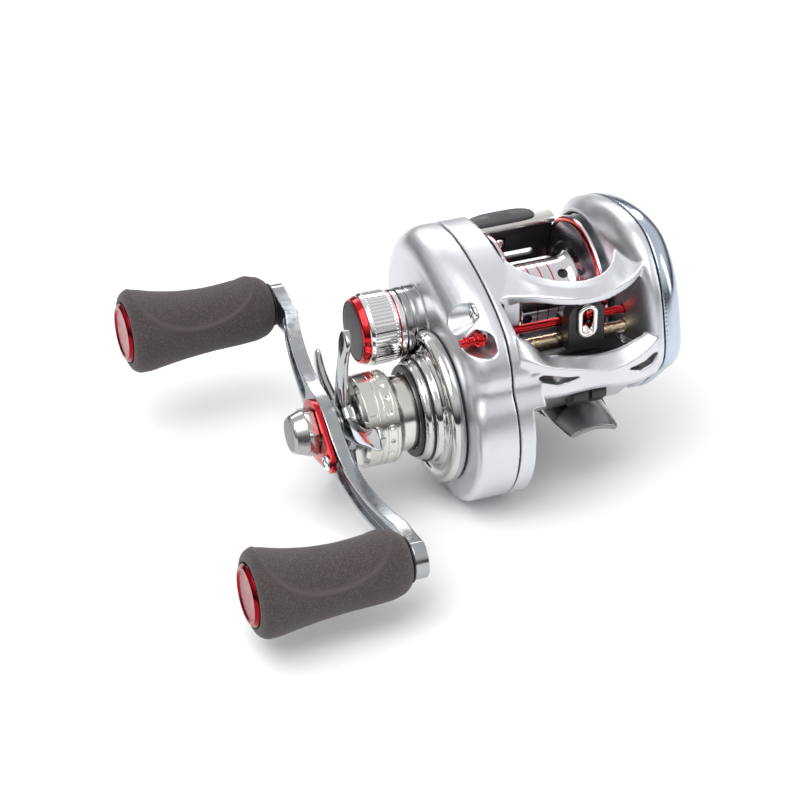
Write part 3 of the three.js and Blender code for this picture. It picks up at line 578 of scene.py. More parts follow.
def make_knob(side):
    """Foam grip, waisted, with a long scoop in one side that a raised crease runs round; its
    red end cap; and the washer between grip and arm."""
    axis = KNOBS[side]
    body = f"knob_{side}"
    x_in, x_out = across(f"handle_knob_{side}")[::-1]
    core = 4.5
    scoop_middle = x_out + 16.5
    scoop_reach = 14.6
    depth = 1.5
    spread = 1.8
    crease = 0.3
    centre = math.radians(84)

    def scoop_at(x, turn):
        """Depth of the scoop, and how near the point is to its raised edge."""
        t = (x - scoop_middle) / scoop_reach
        inside = max(0.0, 1 - t * t)
        lost = depth * inside ** 0.7 - spread * (1 - math.cos(turn - centre))
        return max(0.0, lost), math.exp(-(lost / 0.12) ** 2) * inside ** 0.3

    def scooped(x, r, turn):
        if r < core or x < x_out + 0.9:
            return x, r
        lost, near_edge = scoop_at(x, turn)
        return x, r - lost + crease * near_edge

    bore = 1.98
    profile = [
        (x_in, bore), (x_in, 4.9), (x_in - 0.5, 5.9), (x_in - 1.9, 7.0), (x_in - 4.5, 7.75),
        (x_in - 8.5, 8.0), (x_in - 15.0, 8.15), (x_in - 21.0, 8.6), (x_in - 26.5, 9.25),
        (x_in - 31.0, 9.95), (x_in - 33.6, 9.9), (x_out + 0.5, 9.1), (x_out, 8.0), (x_out, 7.2),
        (x_out + 1.3, 7.1), (x_out + 1.3, bore),
    ]
    grip = mesh_of(turned(profile, axis, 180, ease=1.6, step=0.35, shape=scooped), "grip")
    # Painted highlight: half of the crease measure is stored on the mesh and lightens the foam along the raised
    # crease.
    painted_crease_highlight = grip.attributes.new(CREASE_HIGHLIGHT, "FLOAT", "POINT")
    for vertex, value in zip(grip.vertices, painted_crease_highlight.data):
        y, z = vertex.co.y - axis[0], vertex.co.z - axis[1]
        if math.hypot(y, z) > core:
            value.value = 0.5 * scoop_at(vertex.co.x, math.atan2(z, y))[1]
    piece(f"foam_grip_{side}", grip, body, "eva_foam", [f"handle_knob_{side}"], sharp=60)

    c_out, c_in = across(f"knob_cap_{side}")
    cap = [(c_in, 0), (c_in, 6.9), (c_out + 0.75, 6.95), (c_out, 6.3), (c_out, 5.7),
           (c_out + 0.35, 5.3), (c_out + 0.4, 0)]
    piece(f"red_cap_{side}", turned(cap, axis), body, "red_anodised", [f"knob_cap_{side}"], "cap_red")
    arm_face = across("knob_pin_" + side)[1] - 2.8
    washer = [(x_in + 0.15, 2.1), (x_in + 0.15, 5.1), (arm_face - 0.1, 5.1), (arm_face - 0.1, 2.1)]
    piece(f"knob_washer_{side}", turned(washer, axis, ease=0.05), "drive", "black_plastic")


def arm_centre(s):
    """(x, z) of the arm's outer face and middle line at s along the handle."""
    sweep, sway = 4.2, 2.6
    along = min(1.0, abs(s) / (KNOB_ARM - 9.5))
    outer = across("handle_arm")[0] + sweep * along ** 2.6
    return outer, sway * math.sin(math.pi * max(-1.0, min(1.0, s / KNOB_ARM)))


def arm_half_width(s):
    end = 4.6
    past = max(0.0, abs(s) - KNOB_ARM)
    hub = 3.4 * math.exp(-((s / 9) ** 2))
    swell = 1.6 * min(1.0, abs(s) / KNOB_ARM) ** 6
    return (3.0 + hub + swell) * math.sqrt(max(0.0, 1 - (past / end) ** 2))


def make_arm():
    thick = 3.2
    tip = KNOB_ARM + 4.56
    stations = np.linspace(-tip, tip, 241)

    def ribbon(half_at, inner, outer, places):
        """Solid that follows the arm, from the depth inner to the depth outer in it."""
        rows = []
        for s in places:
            x, z = arm_centre(s)
            half = half_at(s)
            a, b = z - half, z + half
            rows.append([(x + inner, s, a), (x + outer, s, a), (x + outer, s, b), (x + inner, s, b)])
        return loft(rows)

    def slot(start, stop, rim, power, depth, steps, sign):
        """Round-ended hollow between two distances from the hub, inside a rim of the arm."""
        def half_at(s):
            t = (abs(s) - (start + stop) / 2) / ((stop - start) / 2)
            return max(0.02, (arm_half_width(s) - rim) * math.sqrt(max(0.0, 1 - t ** power)))

        return ribbon(half_at, -1.0, depth, np.linspace(start, stop, steps) * sign)

    hollows = []
    for sign in (-1, 1):
        hollows.append(slot(10.0, 37.5, 1.05, 6, 1.5, 60, sign))
        hollows.append(slot(11.5, 21.5, 1.6, 4, thick + 1.5, 40, sign))
    bores = [rod(-66, -45, 2.1)] + [rod(-66, -45, 1.62, (s, 0)) for s in (-KNOB_ARM, KNOB_ARM)]
    mesh = cast(built([ribbon(arm_half_width, 0.0, thick, stations)], hollows + bores), 0.16, 5, 0.35)
    mesh.transform(Matrix.Rotation(HANDLE_TURN, 4, "X"))
    mesh.transform(Matrix.Translation((0, MAIN[0], MAIN[1])))
    piece("crank_arm", mesh, "drive", "gunmetal_aluminium", ["handle_arm"], sharp=60)
    for side, s in (("upper", KNOB_ARM), ("lower", -KNOB_ARM)):
        x = across("knob_pin_" + side)[1]
        boss = [(x - 0.9, 0), (x - 0.9, 1.55), (x - 0.35, 3.1), (x - 0.2, 3.1), (x - 0.02, 2.2), (x, 0)]
        piece(f"pin_head_{side}", turned(boss, KNOBS[side], 64, 0.15), "drive", "steel", look="chrome")


def phillips(x, axis, radius, reach, depth=0.55):
    """Screw with a rounded head and a cross recess; its face is at x and looks along -X."""
    head = [(x + 1.1, 0), (x + 1.1, radius), (x + 0.55, radius), (x + 0.15, radius * 0.72),
            (x, radius * 0.35), (x, 0)]
    shank = rod(x + 1.0, x + reach, 0.9, axis)
    arms = []
    wide, long = radius * 0.16, radius * 0.62
    for a, b in ((wide, long), (long, wide)):
        arms.append(block(x - 1.0, x + depth, axis[0] - a, axis[0] + a, axis[1] - b, axis[1] + b))
    return bevelled(built([turned(head, axis, 48, 0.2), shank], arms), 0.05)


def make_handle_fittings():
    x_out, x_in = across("handle_retainer_plate")
    outline = arc((0, 0), 7.2, 100, -100, 30) + arc((-10.2, -0.8), 2.75, 250, 110, 14)
    hole = (-10.4, -0.8)
    plate = bevelled(built([prism_x(outline, x_out, x_in)], [rod(-70, -50, 2.4), rod(-70, -50, 1.05, hole)]),
                     0.22)
    place = Matrix.Translation((0, *MAIN)) @ Matrix.Rotation(HANDLE_TURN, 4, "X")
    plate.transform(place)
    piece("red_retainer", plate, "drive", "red_anodised", ["handle_retainer_plate"])

    n_out, n_in = across("handle_nut")
    hexagon = eased(arc((0, 0), 5.85, 30, 330, 5), 0.5)
    cone = [(n_out + 3.4, 0), (n_out + 3.4, 5.35), (n_out + 0.55, 4.35), (n_out, 3.9), (n_out, 0)]
    flare = [(n_in - 3.4, 0), (n_in - 3.4, 5.0), (n_in - 2.6, 6.2), (n_in, 6.2), (n_in, 0)]
    nut = common(prism_x(hexagon, n_out + 3.3, n_in), turned(flare))
    nut = joined(nut, [turned(cone, ease=0.25)])
    nut = bevelled(cut(nut, [rod(n_out + 2.6, n_in + 2, 2.25)]), 0.15, 40)
    nut.transform(place)
    piece("crank_nut", nut, "drive", "steel", ["handle_nut"], "nut")
    disc = [(n_out + 0.02, 0), (n_out + 0.02, 3.75), (n_out - 0.03, 3.7), (n_out - 0.03, 0)]
    piece("nut_face", turned(disc, MAIN, 72, 0.01), "drive", "steel", look="nut_face")

    s_out = across("retainer_screw")[0]
    screw = phillips(s_out, hole, 1.85, 2.3, 0.6)
    screw.transform(place)
    piece("small_screw", screw, "drive", "chrome", ["retainer_screw"])


# ---- star drag

def make_star():
    x_out, x_in = across("star_wheel")
    arms, first, tip = 5, 14, 23.4
    parts = [turned([(x_out + 0.2, 3.2), (x_out + 0.2, 5.9), (x_out + 1.0, 6.6), (x_out + 3.1, 6.6),
                     (x_out + 3.1, 3.2)], SPOOL, 96, 0.4)]
    for k in range(arms):
        rows = []
        for u in np.linspace(0, 1, 40):
            r = 4.6 + (tip - 4.6) * u
            half = 1.75 + 1.2 * (1 - u) ** 2 + 1.05 * math.exp(-((u - 0.86) / 0.15) ** 2)
            half *= math.sqrt(max(0.004, 1 - max(0.0, (u - 0.9) / 0.1) ** 2))
            thick = 1.8 - 0.7 * u
            bend = 1.9 * max(0.0, u - 0.3) ** 1.6 / 0.57
            lean = 0.9 * math.sin(math.pi * u)
            x = x_out + 1.3 + bend
            section = []
            for t in np.radians(np.arange(0, 360, 18)):
                c, s = math.cos(t), math.sin(t)
                section.append((x + thick * 0.75 * math.copysign(abs(c) ** 0.7, c),
                                r, lean + half * math.copysign(abs(s) ** 0.8, s)))
            rows.append(section)
        parts.append(spun(loft(rows), math.radians(first + 360 * k / arms)))
    mesh = cast(built(parts, [rod(-60, -45, 3.15)]), 0.15, 5, 0.4)
    for vertex in mesh.vertices:
        vertex.co.x = min(max(vertex.co.x, x_out + 0.02), x_in - 0.02)
    mesh.transform(Matrix.Translation((0, *MAIN)))
    piece("star_drag", mesh, "star", "chrome", ["star_wheel"], "star", 60)


def from_nearest(turn, count):
    """Angle to the nearest of a ring of evenly spaced places."""
    return turn - round(turn * count / (2 * math.pi)) * 2 * math.pi / count


def make_barrel():
    """Drag barrel: turned grooves, a ring of round dimples and short index marks."""
    x_out, x_in = across("star_barrel")
    dimples, dimple_x, dimple_r = 20, x_out + 6.0, 0.62
    marks, mark_x = 5, x_out + 2.1
    radius = 10.7

    def dimpled(x, r, turn):
        if r < radius - 0.6:
            return x, r
        away = math.hypot(x - dimple_x, radius * from_nearest(turn, dimples))
        if away < dimple_r:
            r -= 0.32 * (1 - (away / dimple_r) ** 2)
        if abs(x - mark_x) < 0.8 and abs(from_nearest(turn, marks)) * radius < 0.13:
            r -= 0.16
        return x, r

    groove = 0.14
    profile = [(x_out, 3.15), (x_out, 9.9), (x_out + 0.8, radius)]
    for x in (x_out + 3.6, x_out + 4.9, x_out + 7.1):
        profile += [(x - 0.12, radius), (x - 0.1, radius - groove), (x + 0.1, radius - groove),
                    (x + 0.12, radius)]
    profile += [(x_in - 5.3, radius), (x_in - 4.8, 10.4), (x_in - 4.2, 9.0), (x_in - 3.6, 8.75),
                (x_in, 8.6), (x_in, 4.25), (x_in - 1.5, 4.25), (x_in - 1.5, 3.15)]
    barrel = turned(profile, MAIN, 420, 0.05, 0.14, dimpled)
    piece("drag_barrel", barrel, "star", "champagne_aluminium", ["star_barrel"], sharp=30)


def make_bezel():
    """Stepped chrome tower that the drag barrel runs in, with a plain dished band."""
    x_out, x_in = across("bezel_ring")
    profile = [
        (x_in, 7.2), (x_in, 8.6), (-29.6, 8.6), (-29.6, 17.4), (-30.3, 17.75), (-31.5, 17.8), (-32.3, 17.5),
        (-32.75, 17.0), (-32.85, 16.4), (-32.6, 15.7), (-32.1, 15.0), (-31.95, 14.4), (-32.3, 13.6),
        (-32.9, 13.1), (-33.2, 12.7), (-34.3, 12.55), (-34.7, 12.3), (-34.75, 11.95), (-35.3, 11.85),
        (-35.5, 11.6), (-36.3, 11.5), (-36.75, 11.2), (x_out, 10.9), (x_out, 10.2), (-36.3, 9.9),
        (-36.3, 9.2), (x_out, 8.9), (x_out, 4.25), (-35.0, 4.25), (-35.0, 7.2),
    ]
    tower = built([turned(profile, MAIN, 160, 0.25)], [rod(-40, -20, 8.6, SPOOL, 128)])
    piece("chrome_bezel", tower, "frame", "chrome", ["bezel_ring"], "chrome_main", 30)
    s_out, s_in = across("bezel_seal")
    seal = [(s_out, 8.95), (s_out, 10.5), (s_in, 10.75), (s_in, 8.95)]
    piece("black_seal", turned(seal, MAIN), "frame", "black_plastic", ["bezel_seal"])
    # Painted shade: a thin near-black ring laid in the inside corner of the bezel's step.
    line = [(-34.8, 12.2), (-34.8, 11.95), (-35.25, 11.9), (-35.35, 12.1)]
    piece("bezel_painted_shade_line", turned(line, MAIN, 160, 0.02), "frame", "black_plastic", look="dark")


# ---- cast control

def make_cast_control():
    x_out, x_in = across("cast_control_cap")
    flutes = 60
    start, stop = x_out + 1.1, x_out + 6.6

    def knurled(x, r, turn):
        if r < 8.0 or not start < x < stop:
            return x, r
        fade = min(1.0, (x - start) / 0.35, (stop - x) / 0.35)
        wave = max(0.0, math.cos(flutes * turn)) ** 0.7
        return x, r - 0.42 * fade * wave

    cap = [
        (x_out, 0), (x_out, 7.9), (x_out + 0.2, 8.15), (x_out + 0.9, 8.5), (x_in - 2.5, 8.45),
        (x_in - 1.55, 8.25), (x_in - 1.45, 7.95), (x_in - 1.2, 7.95), (x_in - 1.1, 8.15), (x_in, 8.1),
        (x_in, 7.4), (x_in - 1.2, 7.4), (x_out + 6.1, 5.0), (x_out + 6.1, 0),
    ]
    piece("cast_cap", turned(cap, SPOOL, flutes * 8, 0.12, 0.22, knurled), "cast_control", "chrome",
          ["cast_control_cap"], "chrome_cap", 40)
    band = [(x_in - 1.22, 7.9), (x_in - 1.22, 8.12), (x_in - 1.43, 8.15), (x_in - 1.43, 7.9)]
    piece("cast_cap_red_line", turned(band, SPOOL, 128, 0.02), "cast_control", "red_anodised",
          look="red_turned")
    r_out, r_in = across("cast_control_red_ring")
    red = [(r_in + 0.28, 6.9), (r_in + 0.28, 8.0), (r_out + 0.25, 7.45), (r_out, 7.1), (r_out, 6.9)]
    piece("cast_red_ring", turned(red, SPOOL, 128, 0.1), "cast_control", "red_anodised",
          ["cast_control_red_ring"], "red_turned")
    d_out, d_in = across("cast_control_end_disc")
    disc = [(d_in, 0), (d_in, 6.75), (d_out + 0.25, 6.75), (d_out, 6.4), (d_out + 0.05, 3.0),
            (d_out + 0.05, 0)]
    piece("cast_end_disc", turned(disc, SPOOL, 128), "cast_control", "cap_disc", ["cast_control_end_disc"])
    c_out, c_in = across("cast_control_collar")
    collar = [(c_in, 7.5), (c_in, 8.15), (c_out + 2.2, 8.15), (c_out + 2.0, 7.95), (c_out + 1.7, 7.95),
              (c_out + 1.5, 8.15), (c_out, 8.1), (c_out, 7.5)]
    piece("dark_collar", turned(collar, SPOOL, 128), "frame", "foot_metal", ["cast_control_collar"],
          "collar")


# ---- spool

def make_spool():
    half = across("spool")[1]
    rim = 17.0
    profile = [
        (-9.0, 1.6), (-9.0, 7.0), (-9.9, 10.5), (-half, 16.1), (-half, rim - 0.1), (-half + 0.2, rim),
        (-10.45, rim), (-10.3, rim - 0.25), (-8.9, 11.2), (-8.3, 9.3), (-7.5, 8.5), (-6.3, 8.05), (-4.0, 8.0),
        (4.0, 8.0), (6.3, 8.05), (7.5, 8.5), (8.3, 9.3), (8.9, 11.2), (10.3, rim - 0.25), (10.45, rim),
        (half - 0.2, rim), (half, rim - 0.1), (half, 16.1), (9.9, 10.5), (9.0, 7.0), (9.0, 1.6),
    ]
    holes = []
    for x, start in ((-5.2, 8), (5.2, 30)):
        for k in range(8):
            turn = math.radians(start + 45 * k)
            holes.append(spun(pillar(x, 0, 6.2, 12, 1.25, 32), turn))
            # Painted shade: a near-black plug at the bottom of each blind hole stands for the shade down the hole.
            piece(f"spool_hole_{'in' if x < 0 else 'out'}_{k}",
                  spun(pillar(x, 0, 6.25, 7.2, 1.22, 32), turn), "spool", "spool_aluminium", look="dark")
    body = built([turned(profile, SPOOL, 192, 0.2)], holes)
    piece("spool_body", body, "spool", "spool_aluminium", ["spool"], sharp=30)
    for name, side in (("handle", -1), ("palm", 1)):
        rim_line = [(side * 10.0, 15.6), (side * 10.25, 15.6), (side * 10.45, 16.85), (side * 10.17, 16.85)]
        piece(f"spool_rim_{name}", turned(rim_line, SPOOL, 192, 0.02), "spool", "red_anodised",
              look="red_turned")
        face = [(side * 8.85, 11.2), (side * 10.0, 15.6), (side * 9.9, 15.6), (side * 8.7, 11.25)]
        piece(f"spool_flange_{name}", turned(face, SPOOL, 192, 0.02), "spool", "spool_aluminium",
              look="flange")
    for k, x in enumerate((-2.6, 0.0, 2.6)):
        line = [(x - 0.16, 7.9), (x - 0.16, 8.03), (x + 0.16, 8.03), (x + 0.16, 7.9)]
        piece(f"spool_red_line_{k}", turned(line, SPOOL, 160, 0.02), "spool", "red_anodised",
              look="red_turned")


# ---- level wind

def make_level_wind():
    x0, x1 = across("worm_shaft")
    radius, pitch, depth = 1.5, 6.0, 0.05
    start, stop = -12.0, 12.2

    def crossed(x, r, turn):
        if r < radius - 0.05 or not start < x < stop:
            return x, r
        lost = 0.0
        for hand in (1, -1):
            phase = (x / pitch - hand * turn / (2 * math.pi)) % 1.0
            away = min(phase, 1 - phase) * pitch
            if away < 0.55:
                lost = max(lost, depth * (1 - (away / 0.55) ** 2))
        return x, r - lost

    shaft = [(x0, 0), (x0, 1.1), (-14.8, 1.1), (-14.8, radius), (x1, radius), (x1, 0)]
    piece("worm_screw", turned(shaft, WORM, 72, 0.1, 0.16, crossed), "worm", "brass", ["worm_shaft"],
          sharp=40)
    low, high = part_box("stabiliser_rod")
    middle = in_reel((low + high) / 2)
    r0, r1 = across("stabiliser_rod")
    piece("red_rod", rod(r0, r1, (high.z - low.z) / MM / 2, (middle.y, middle.z)), "frame", "red_anodised",
          ["stabiliser_rod"])


def stadium(cx, cz, half_width, half_height, steps=14):
    straight = half_height - half_width
    return (arc((cx, cz + straight), half_width, 0, 180, steps)
            + arc((cx, cz - straight), half_width, 180, 360, steps))


def make_line_guide():
    """Block that runs on the worm and the rod, and its oval eyelet."""
    x0, x1 = across("line_guide")
    middle = (x0 + x1) / 2
    eye_z = 6.9
    side = eased([(-25.4, -1.4), (-18.8, -1.4), (-18.2, -0.6), (-18.2, 6.2), (-22.0, 6.6), (-22.0, 11.2),
                  (-22.7, 11.7), (-24.5, 11.7), (-25.4, 10.6)], 1.0)
    front = eased([(x0, -1.4), (x1, -1.4), (x1, 9.0), (x1 - 1.6, 11.7), (x0 + 1.6, 11.7), (x0, 9.0)], 1.4)
    blank = common(prism_x(side, x0, x1), prism_y(front, -30, -10))
    cutters = [
        rod(-30, 30, 1.08, ROD), rod(-30, 30, 1.58, WORM),
        prism_y(stadium(middle, eye_z, 1.9, 3.7), -30, -15),
        block(middle - 1.3, middle + 1.3, WORM[0] - 1.3, WORM[0] + 1.3, -3, -0.2),
    ]
    mesh = cast(cut(blank, cutters), 0.14, 4, 0.35)
    piece("guide_block", mesh, "line_guide", "black_plastic", ["line_guide"], sharp=50)

    rows = []
    sleeve = [(-26.05, 1.28), (-26.4, 1.5), (-26.5, 1.9), (-26.35, 2.3), (-25.95, 2.48), (-25.72, 2.45),
              (-25.72, 1.85), (-22.3, 1.82), (-22.3, 1.3), (-23.5, 1.25)]
    count = 72
    for k in range(count):
        t = 2 * math.pi * k / count
        row = []
        for y, r in eased(sleeve, 0.25):
            straight = 1.8 * (1 if math.sin(t) >= 0 else -1)
            row.append((middle + r * math.cos(t), y, eye_z + straight + r * math.sin(t)))
        rows.append(row)
    ring = loft(rows, closed_ends=False)
    piece("oval_eyelet", ring, "line_guide", "eyelet_ring", ["line_eyelet"], sharp=40)


# ---- frame and covers

SEAM, COVER_OUT, COVER_SEAM = -19.2, -29.3, -19.5
PLATE_IN, PALM_IN, PALM_SEAM, PALM_OUT = -12.4, 12.4, 18.0, 23.6
WALL = 1.4
GEAR_SIDE = smooth_loop(
    arc((0, 0), 21.5, -49.6, 22, 5) + [
        (17.6, 13.2), (12.6, 16.9), (5.0, 18.4), (-1.2, 18.4), (-7.3, 17.6), (-13.3, 16.2), (-19.2, 14.2),
        (-25.1, 11.4), (-29.3, 8.4), (-31.9, 4.6), (-33.2, 1.2),
    ] + arc((-18.0, -15.3), 20.5, 141, 300, 12) + [(5.5, -27.0)], 8)
PALM_SIDE = smooth_loop([
    (14.0, -16.0), (19.2, -9.0), (21.4, 0.0), (20.6, 8.0), (16.5, 14.2), (8.5, 19.0), (0.0, 22.0),
    (-8.0, 23.6), (-15.0, 23.8), (-20.5, 22.4), (-25.5, 18.6), (-29.3, 13.0), (-31.7, 5.0), (-32.6, -1.0),
    (-31.2, -5.6), (-27.0, -10.0), (-19.0, -18.0), (-14.0, -19.3), (0.0, -19.4), (9.0, -19.3)], 10)
FOOT_X = 3.1
FOOT_SCREWS = {"front": -8.5, "rear": 8.5}
COVER_SCREW = (-20.7, 11.3)
REAR_SCREW = (14.5, -6.5)
KEEPER = (-26.3, 7.9)


def shouldered(loop, x_seam, x_out, radius_at, steps=12):
    """Solid from the seam to its outer face, with a rounded shoulder of varying size."""
    normals = outward(loop)
    radii = np.array([radius_at(y, z) for y, z in loop])
    kernel = np.ones(9) / 9
    radii = np.convolve(np.concatenate([radii[-4:], radii, radii[:4]]), kernel, "valid")
    side = math.copysign(1, x_out - x_seam)
    rows = [[(x_seam, y, z) for y, z in loop]]
    for phi in np.linspace(0, math.pi / 2, steps):
        row = []
        for (y, z), (ny, nz), radius in zip(loop, normals, radii):
            inwards = radius * (1 - math.cos(phi))
            x = x_out - side * radius * (1 - math.sin(phi))
            row.append((x, y - ny * inwards, z - nz * inwards))
        rows.append(row)
    return loft(rows)


def rise(value, middle, width):
    """Smooth step from 0 to 1."""
    return 1 / (1 + math.exp(-(value - middle) / width))


def shoulder_of_cover(y, z):
    """Broad on top and behind the cap, tight round the gear lobe."""
    low, rear, crest = 1.7, 3.6, 7.0
    front = 5.4 + 3.8 * rise(z, 8.5, 1.5)
    back = rear + (crest - rear) * rise(z, 11.0, 2.0)
    return low + (front + (back - front) * rise(y, -10.0, 2.5) - low) * rise(z, -4.0, 2.5)


def make_handle_side_cover():
    hull = shouldered(GEAR_SIDE, COVER_SEAM, COVER_OUT, shoulder_of_cover)
    room = shouldered(inset(GEAR_SIDE, WALL), COVER_SEAM + 2, COVER_OUT + WALL, shoulder_of_cover)
    cap_boss = turned([(-35.4, 0), (-35.4, 6.6), (-34.8, 7.2), (-30.6, 7.2), (-29.4, 8.6), (-28.0, 9.6),
                       (-28.0, 0)], SPOOL, 128, 0.5)
    screw_seat = common(rod(-33, COVER_SEAM, 4.8, COVER_SCREW), hull)
    keeper_seat = common(block(-33, COVER_SEAM, -33, -22.6, 4.0, 11.8), hull)
    rear_post = rod(-29, COVER_SEAM, 2.8, REAR_SCREW)
    mesh = joined(built([hull], [room]), [cap_boss, solid_of(screw_seat), solid_of(keeper_seat), rear_post])
    scoop = [(-23.3, 0), (-23.3, 2.4), (-29.5, 4.3), (-29.5, 0)]
    pocket = [(-31.0, 7.2), (-29.0, 9.0), (-26.0, 9.9), (-23.2, 10.0), (-21.9, 9.2), (-21.9, 6.4),
              (-23.2, 5.6), (-26.0, 5.7), (-29.0, 6.2)]
    mesh = cut(mesh, [
        rod(-24.8, -18, 18.4, MAIN, 96),  # room for the gears
        rod(-36, -25, 2.6), rod(-36, -33.2, 5.1),  # way through to the spool's shaft
        rod(-33, -25, 8.9, MAIN, 128),  # way through for the main shaft
        turned(scoop, COVER_SCREW, 72, 0.1), rod(-40, -27.6, 2.2, REAR_SCREW),
        prism_y(eased(pocket, 0.6), -40, -24.9),
    ])
    piece("gear_cover", cast(mesh, 0.24, 9), "frame", "satin_aluminium", ["handle_side_cover"], sharp=60)
    piece("cover_screw_a", phillips(across("cover_screw_front")[0] - 0.9, COVER_SCREW, 2.15, 4.0), "frame",
          "chrome", ["cover_screw_front"])
    piece("cover_screw_b", phillips(across("cover_screw_rear")[0], REAR_SCREW, 1.85, 9.0), "frame",
          "chrome", ["cover_screw_rear"])


def solid_of(mesh):
    points = np.array([v.co for v in mesh.vertices])
    return points, [list(p.vertices) for p in mesh.polygons]


def make_keeper():
    x0, x1 = across("hook_keeper")
    bobbin = [(x0, 0), (x0, 0.9), (x0 + 0.8, 0.95), (x0 + 1.1, 1.4), (x0 + 1.7, 1.4), (x0 + 2.1, 0.95),
              (x0 + 3.2, 1.0), (x0 + 3.9, 1.7), (x1 - 0.8, 1.7), (x1 - 0.5, 1.2), (x1, 1.1), (x1, 0)]
    piece("red_keeper", turned(bobbin, KEEPER, 72, 0.2), "frame", "red_anodised", ["hook_keeper"])


def make_palm_cover():
    def radius_at(y, z):
        return 4.2

    hull = shouldered(PALM_SIDE, PALM_SEAM + 0.3, PALM_OUT, radius_at, 14)
    room = shouldered(inset(PALM_SIDE, WALL), PALM_SEAM - 2, PALM_OUT - WALL, radius_at, 14)
    dish = [(PALM_OUT - 0.35, 0), (PALM_OUT - 0.35, 10.4), (PALM_OUT + 1, 11.4), (PALM_OUT + 1, 0)]
    mesh = cut(built([hull], [room, rod(20, 30, 2.3)]), [turned(dish, SPOOL, 128, 0.3)])
    piece("palm_plate", cast(mesh, 0.24, 9), "frame", "palm_cover_finish", ["palm_side_cover"], sharp=60)


def make_brake_dial():
    x0, x1 = across("brake_dial")
    notches = 24

    def notched(x, r, turn):
        if r < 8.4 or x < PALM_OUT + 0.2:
            return x, r
        return x, r - 0.22 * max(0.0, math.cos(notches * turn)) ** 2

    dial = [(x0, 0), (x0, 2.1), (PALM_OUT + 0.3, 2.1), (PALM_OUT + 0.3, 9.0), (x1 - 0.8, 9.0),
            (x1 - 0.2, 8.3), (x1 - 0.15, 6.4), (x1 - 0.45, 6.1), (x1 - 0.45, 2.0), (x1, 0)]
    mesh = mesh_of(turned(dial, SPOOL, notches * 12, 0.2, 0.3, notched), "dial")
    grip = eased([(-1.1, -7.6), (1.1, -7.6), (1.1, 7.6), (-1.1, 7.6)], 1.0)
    mesh = joined(mesh, [prism_x(grip, x1 - 0.6, x1 - 0.02)])
    piece("brake_knob", bevelled(mesh, 0.08, 45), "brake_dial", "foot_metal", ["brake_dial"], sharp=40)


RAIL_X = [-16.5, -13.2, -12.0, -10.2, -5.7, -0.7, 3.9, 7.4, 10.0, 12.1, 15.0]
RAIL_REAR_Y = [-1.0, -4.5, -8.0, -14.0, -18.8, -21.4, -22.2, -21.7, -19.8, -16.2, -12.0]
RAIL_REAR_Z = [17.6, 17.3, 17.0, 16.8, 15.9, 15.5, 15.6, 16.4, 17.4, 17.9, 18.4]
RAIL_FRONT_X = [-17.5, -13.0, -7.2, -2.0, 3.6, 8.9, 13.2, 15.1, 17.0]
RAIL_FRONT_Y = [-19.8, -21.9, -25.2, -27.3, -27.6, -26.8, -26.0, -25.4, -24.5]
RAIL_FRONT_Z = [13.7, 14.3, 14.4, 14.2, 14.0, 14.6, 16.5, 18.2, 19.6]
BAR_X = [-19.0, -15.3, -11.7, -4.3, 4.3, 11.6, 15.3, 18.0]
BAR_CREASE_Z = [5.0, 4.0, 2.2, 0.0, -1.9, -0.1, 2.0, 4.0]
BAR_CREASE_Y = [-32.3, -33.0, -33.4, -33.9, -34.1, -33.4, -32.6, -31.2]
BAR_TOP_X = [-17.0, -13.3, -11.1, -6.2, 1.2, 8.5, 12.2, 15.4, 18.0]
BAR_TOP_Z = [9.0, 6.2, 3.4, 1.7, 0.2, 0.6, 1.9, 3.4, 6.0]
BAR_FOOT_X = [-19.0, -15.0, -8.8, 1.0, 12.6, 18.0]
BAR_FOOT_Z = [-6.0, -6.9, -8.1, -7.9, -8.4, -6.6]


def top_rail():
    """Rail in front of the thumb opening, from the gear side up to the palm side."""
    rows = []
    for x in np.linspace(-17.6, 15.2, 92):
        rear = np.array([smooth_line(x, RAIL_X, RAIL_REAR_Y), smooth_line(x, RAIL_X, RAIL_REAR_Z)])
        front = np.array([smooth_line(x, RAIL_FRONT_X, RAIL_FRONT_Y),
                          smooth_line(x, RAIL_FRONT_X, RAIL_FRONT_Z)])
        down = np.array([0.35, -2.4])
        crown = (rear + front) / 2 + np.array([-0.1, 0.35])
        loop = [front, front + down * [0.6, 0.8], rear + down * [0.2, 1.0], rear, crown]
        rows.append([(x, y, z) for y, z in loop])
    return loft(rows)


def front_bar():
    """Bar below the window: an upper facet, a crease and a lip that leans back under it."""
    rows = []
    for x in np.linspace(-17.2, PALM_SEAM - 1.4, 90):
        top = smooth_line(x, BAR_TOP_X, BAR_TOP_Z)
        crease_y = smooth_line(x, BAR_X, BAR_CREASE_Y)
        crease_z = smooth_line(x, BAR_X, BAR_CREASE_Z)
        foot = smooth_line(x, BAR_FOOT_X, BAR_FOOT_Z)
        loop = [(-28.3, top - 1.0), (-29.2, top), (-30.0, top - 0.1), (crease_y, crease_z),
                (-32.9, foot + 1.9), (-31.8, foot + 0.4), (-29.6, foot), (-27.6, foot), (-28.6, foot + 3.0)]
        rows.append([(x, y, z) for y, z in loop])
    return loft(rows)


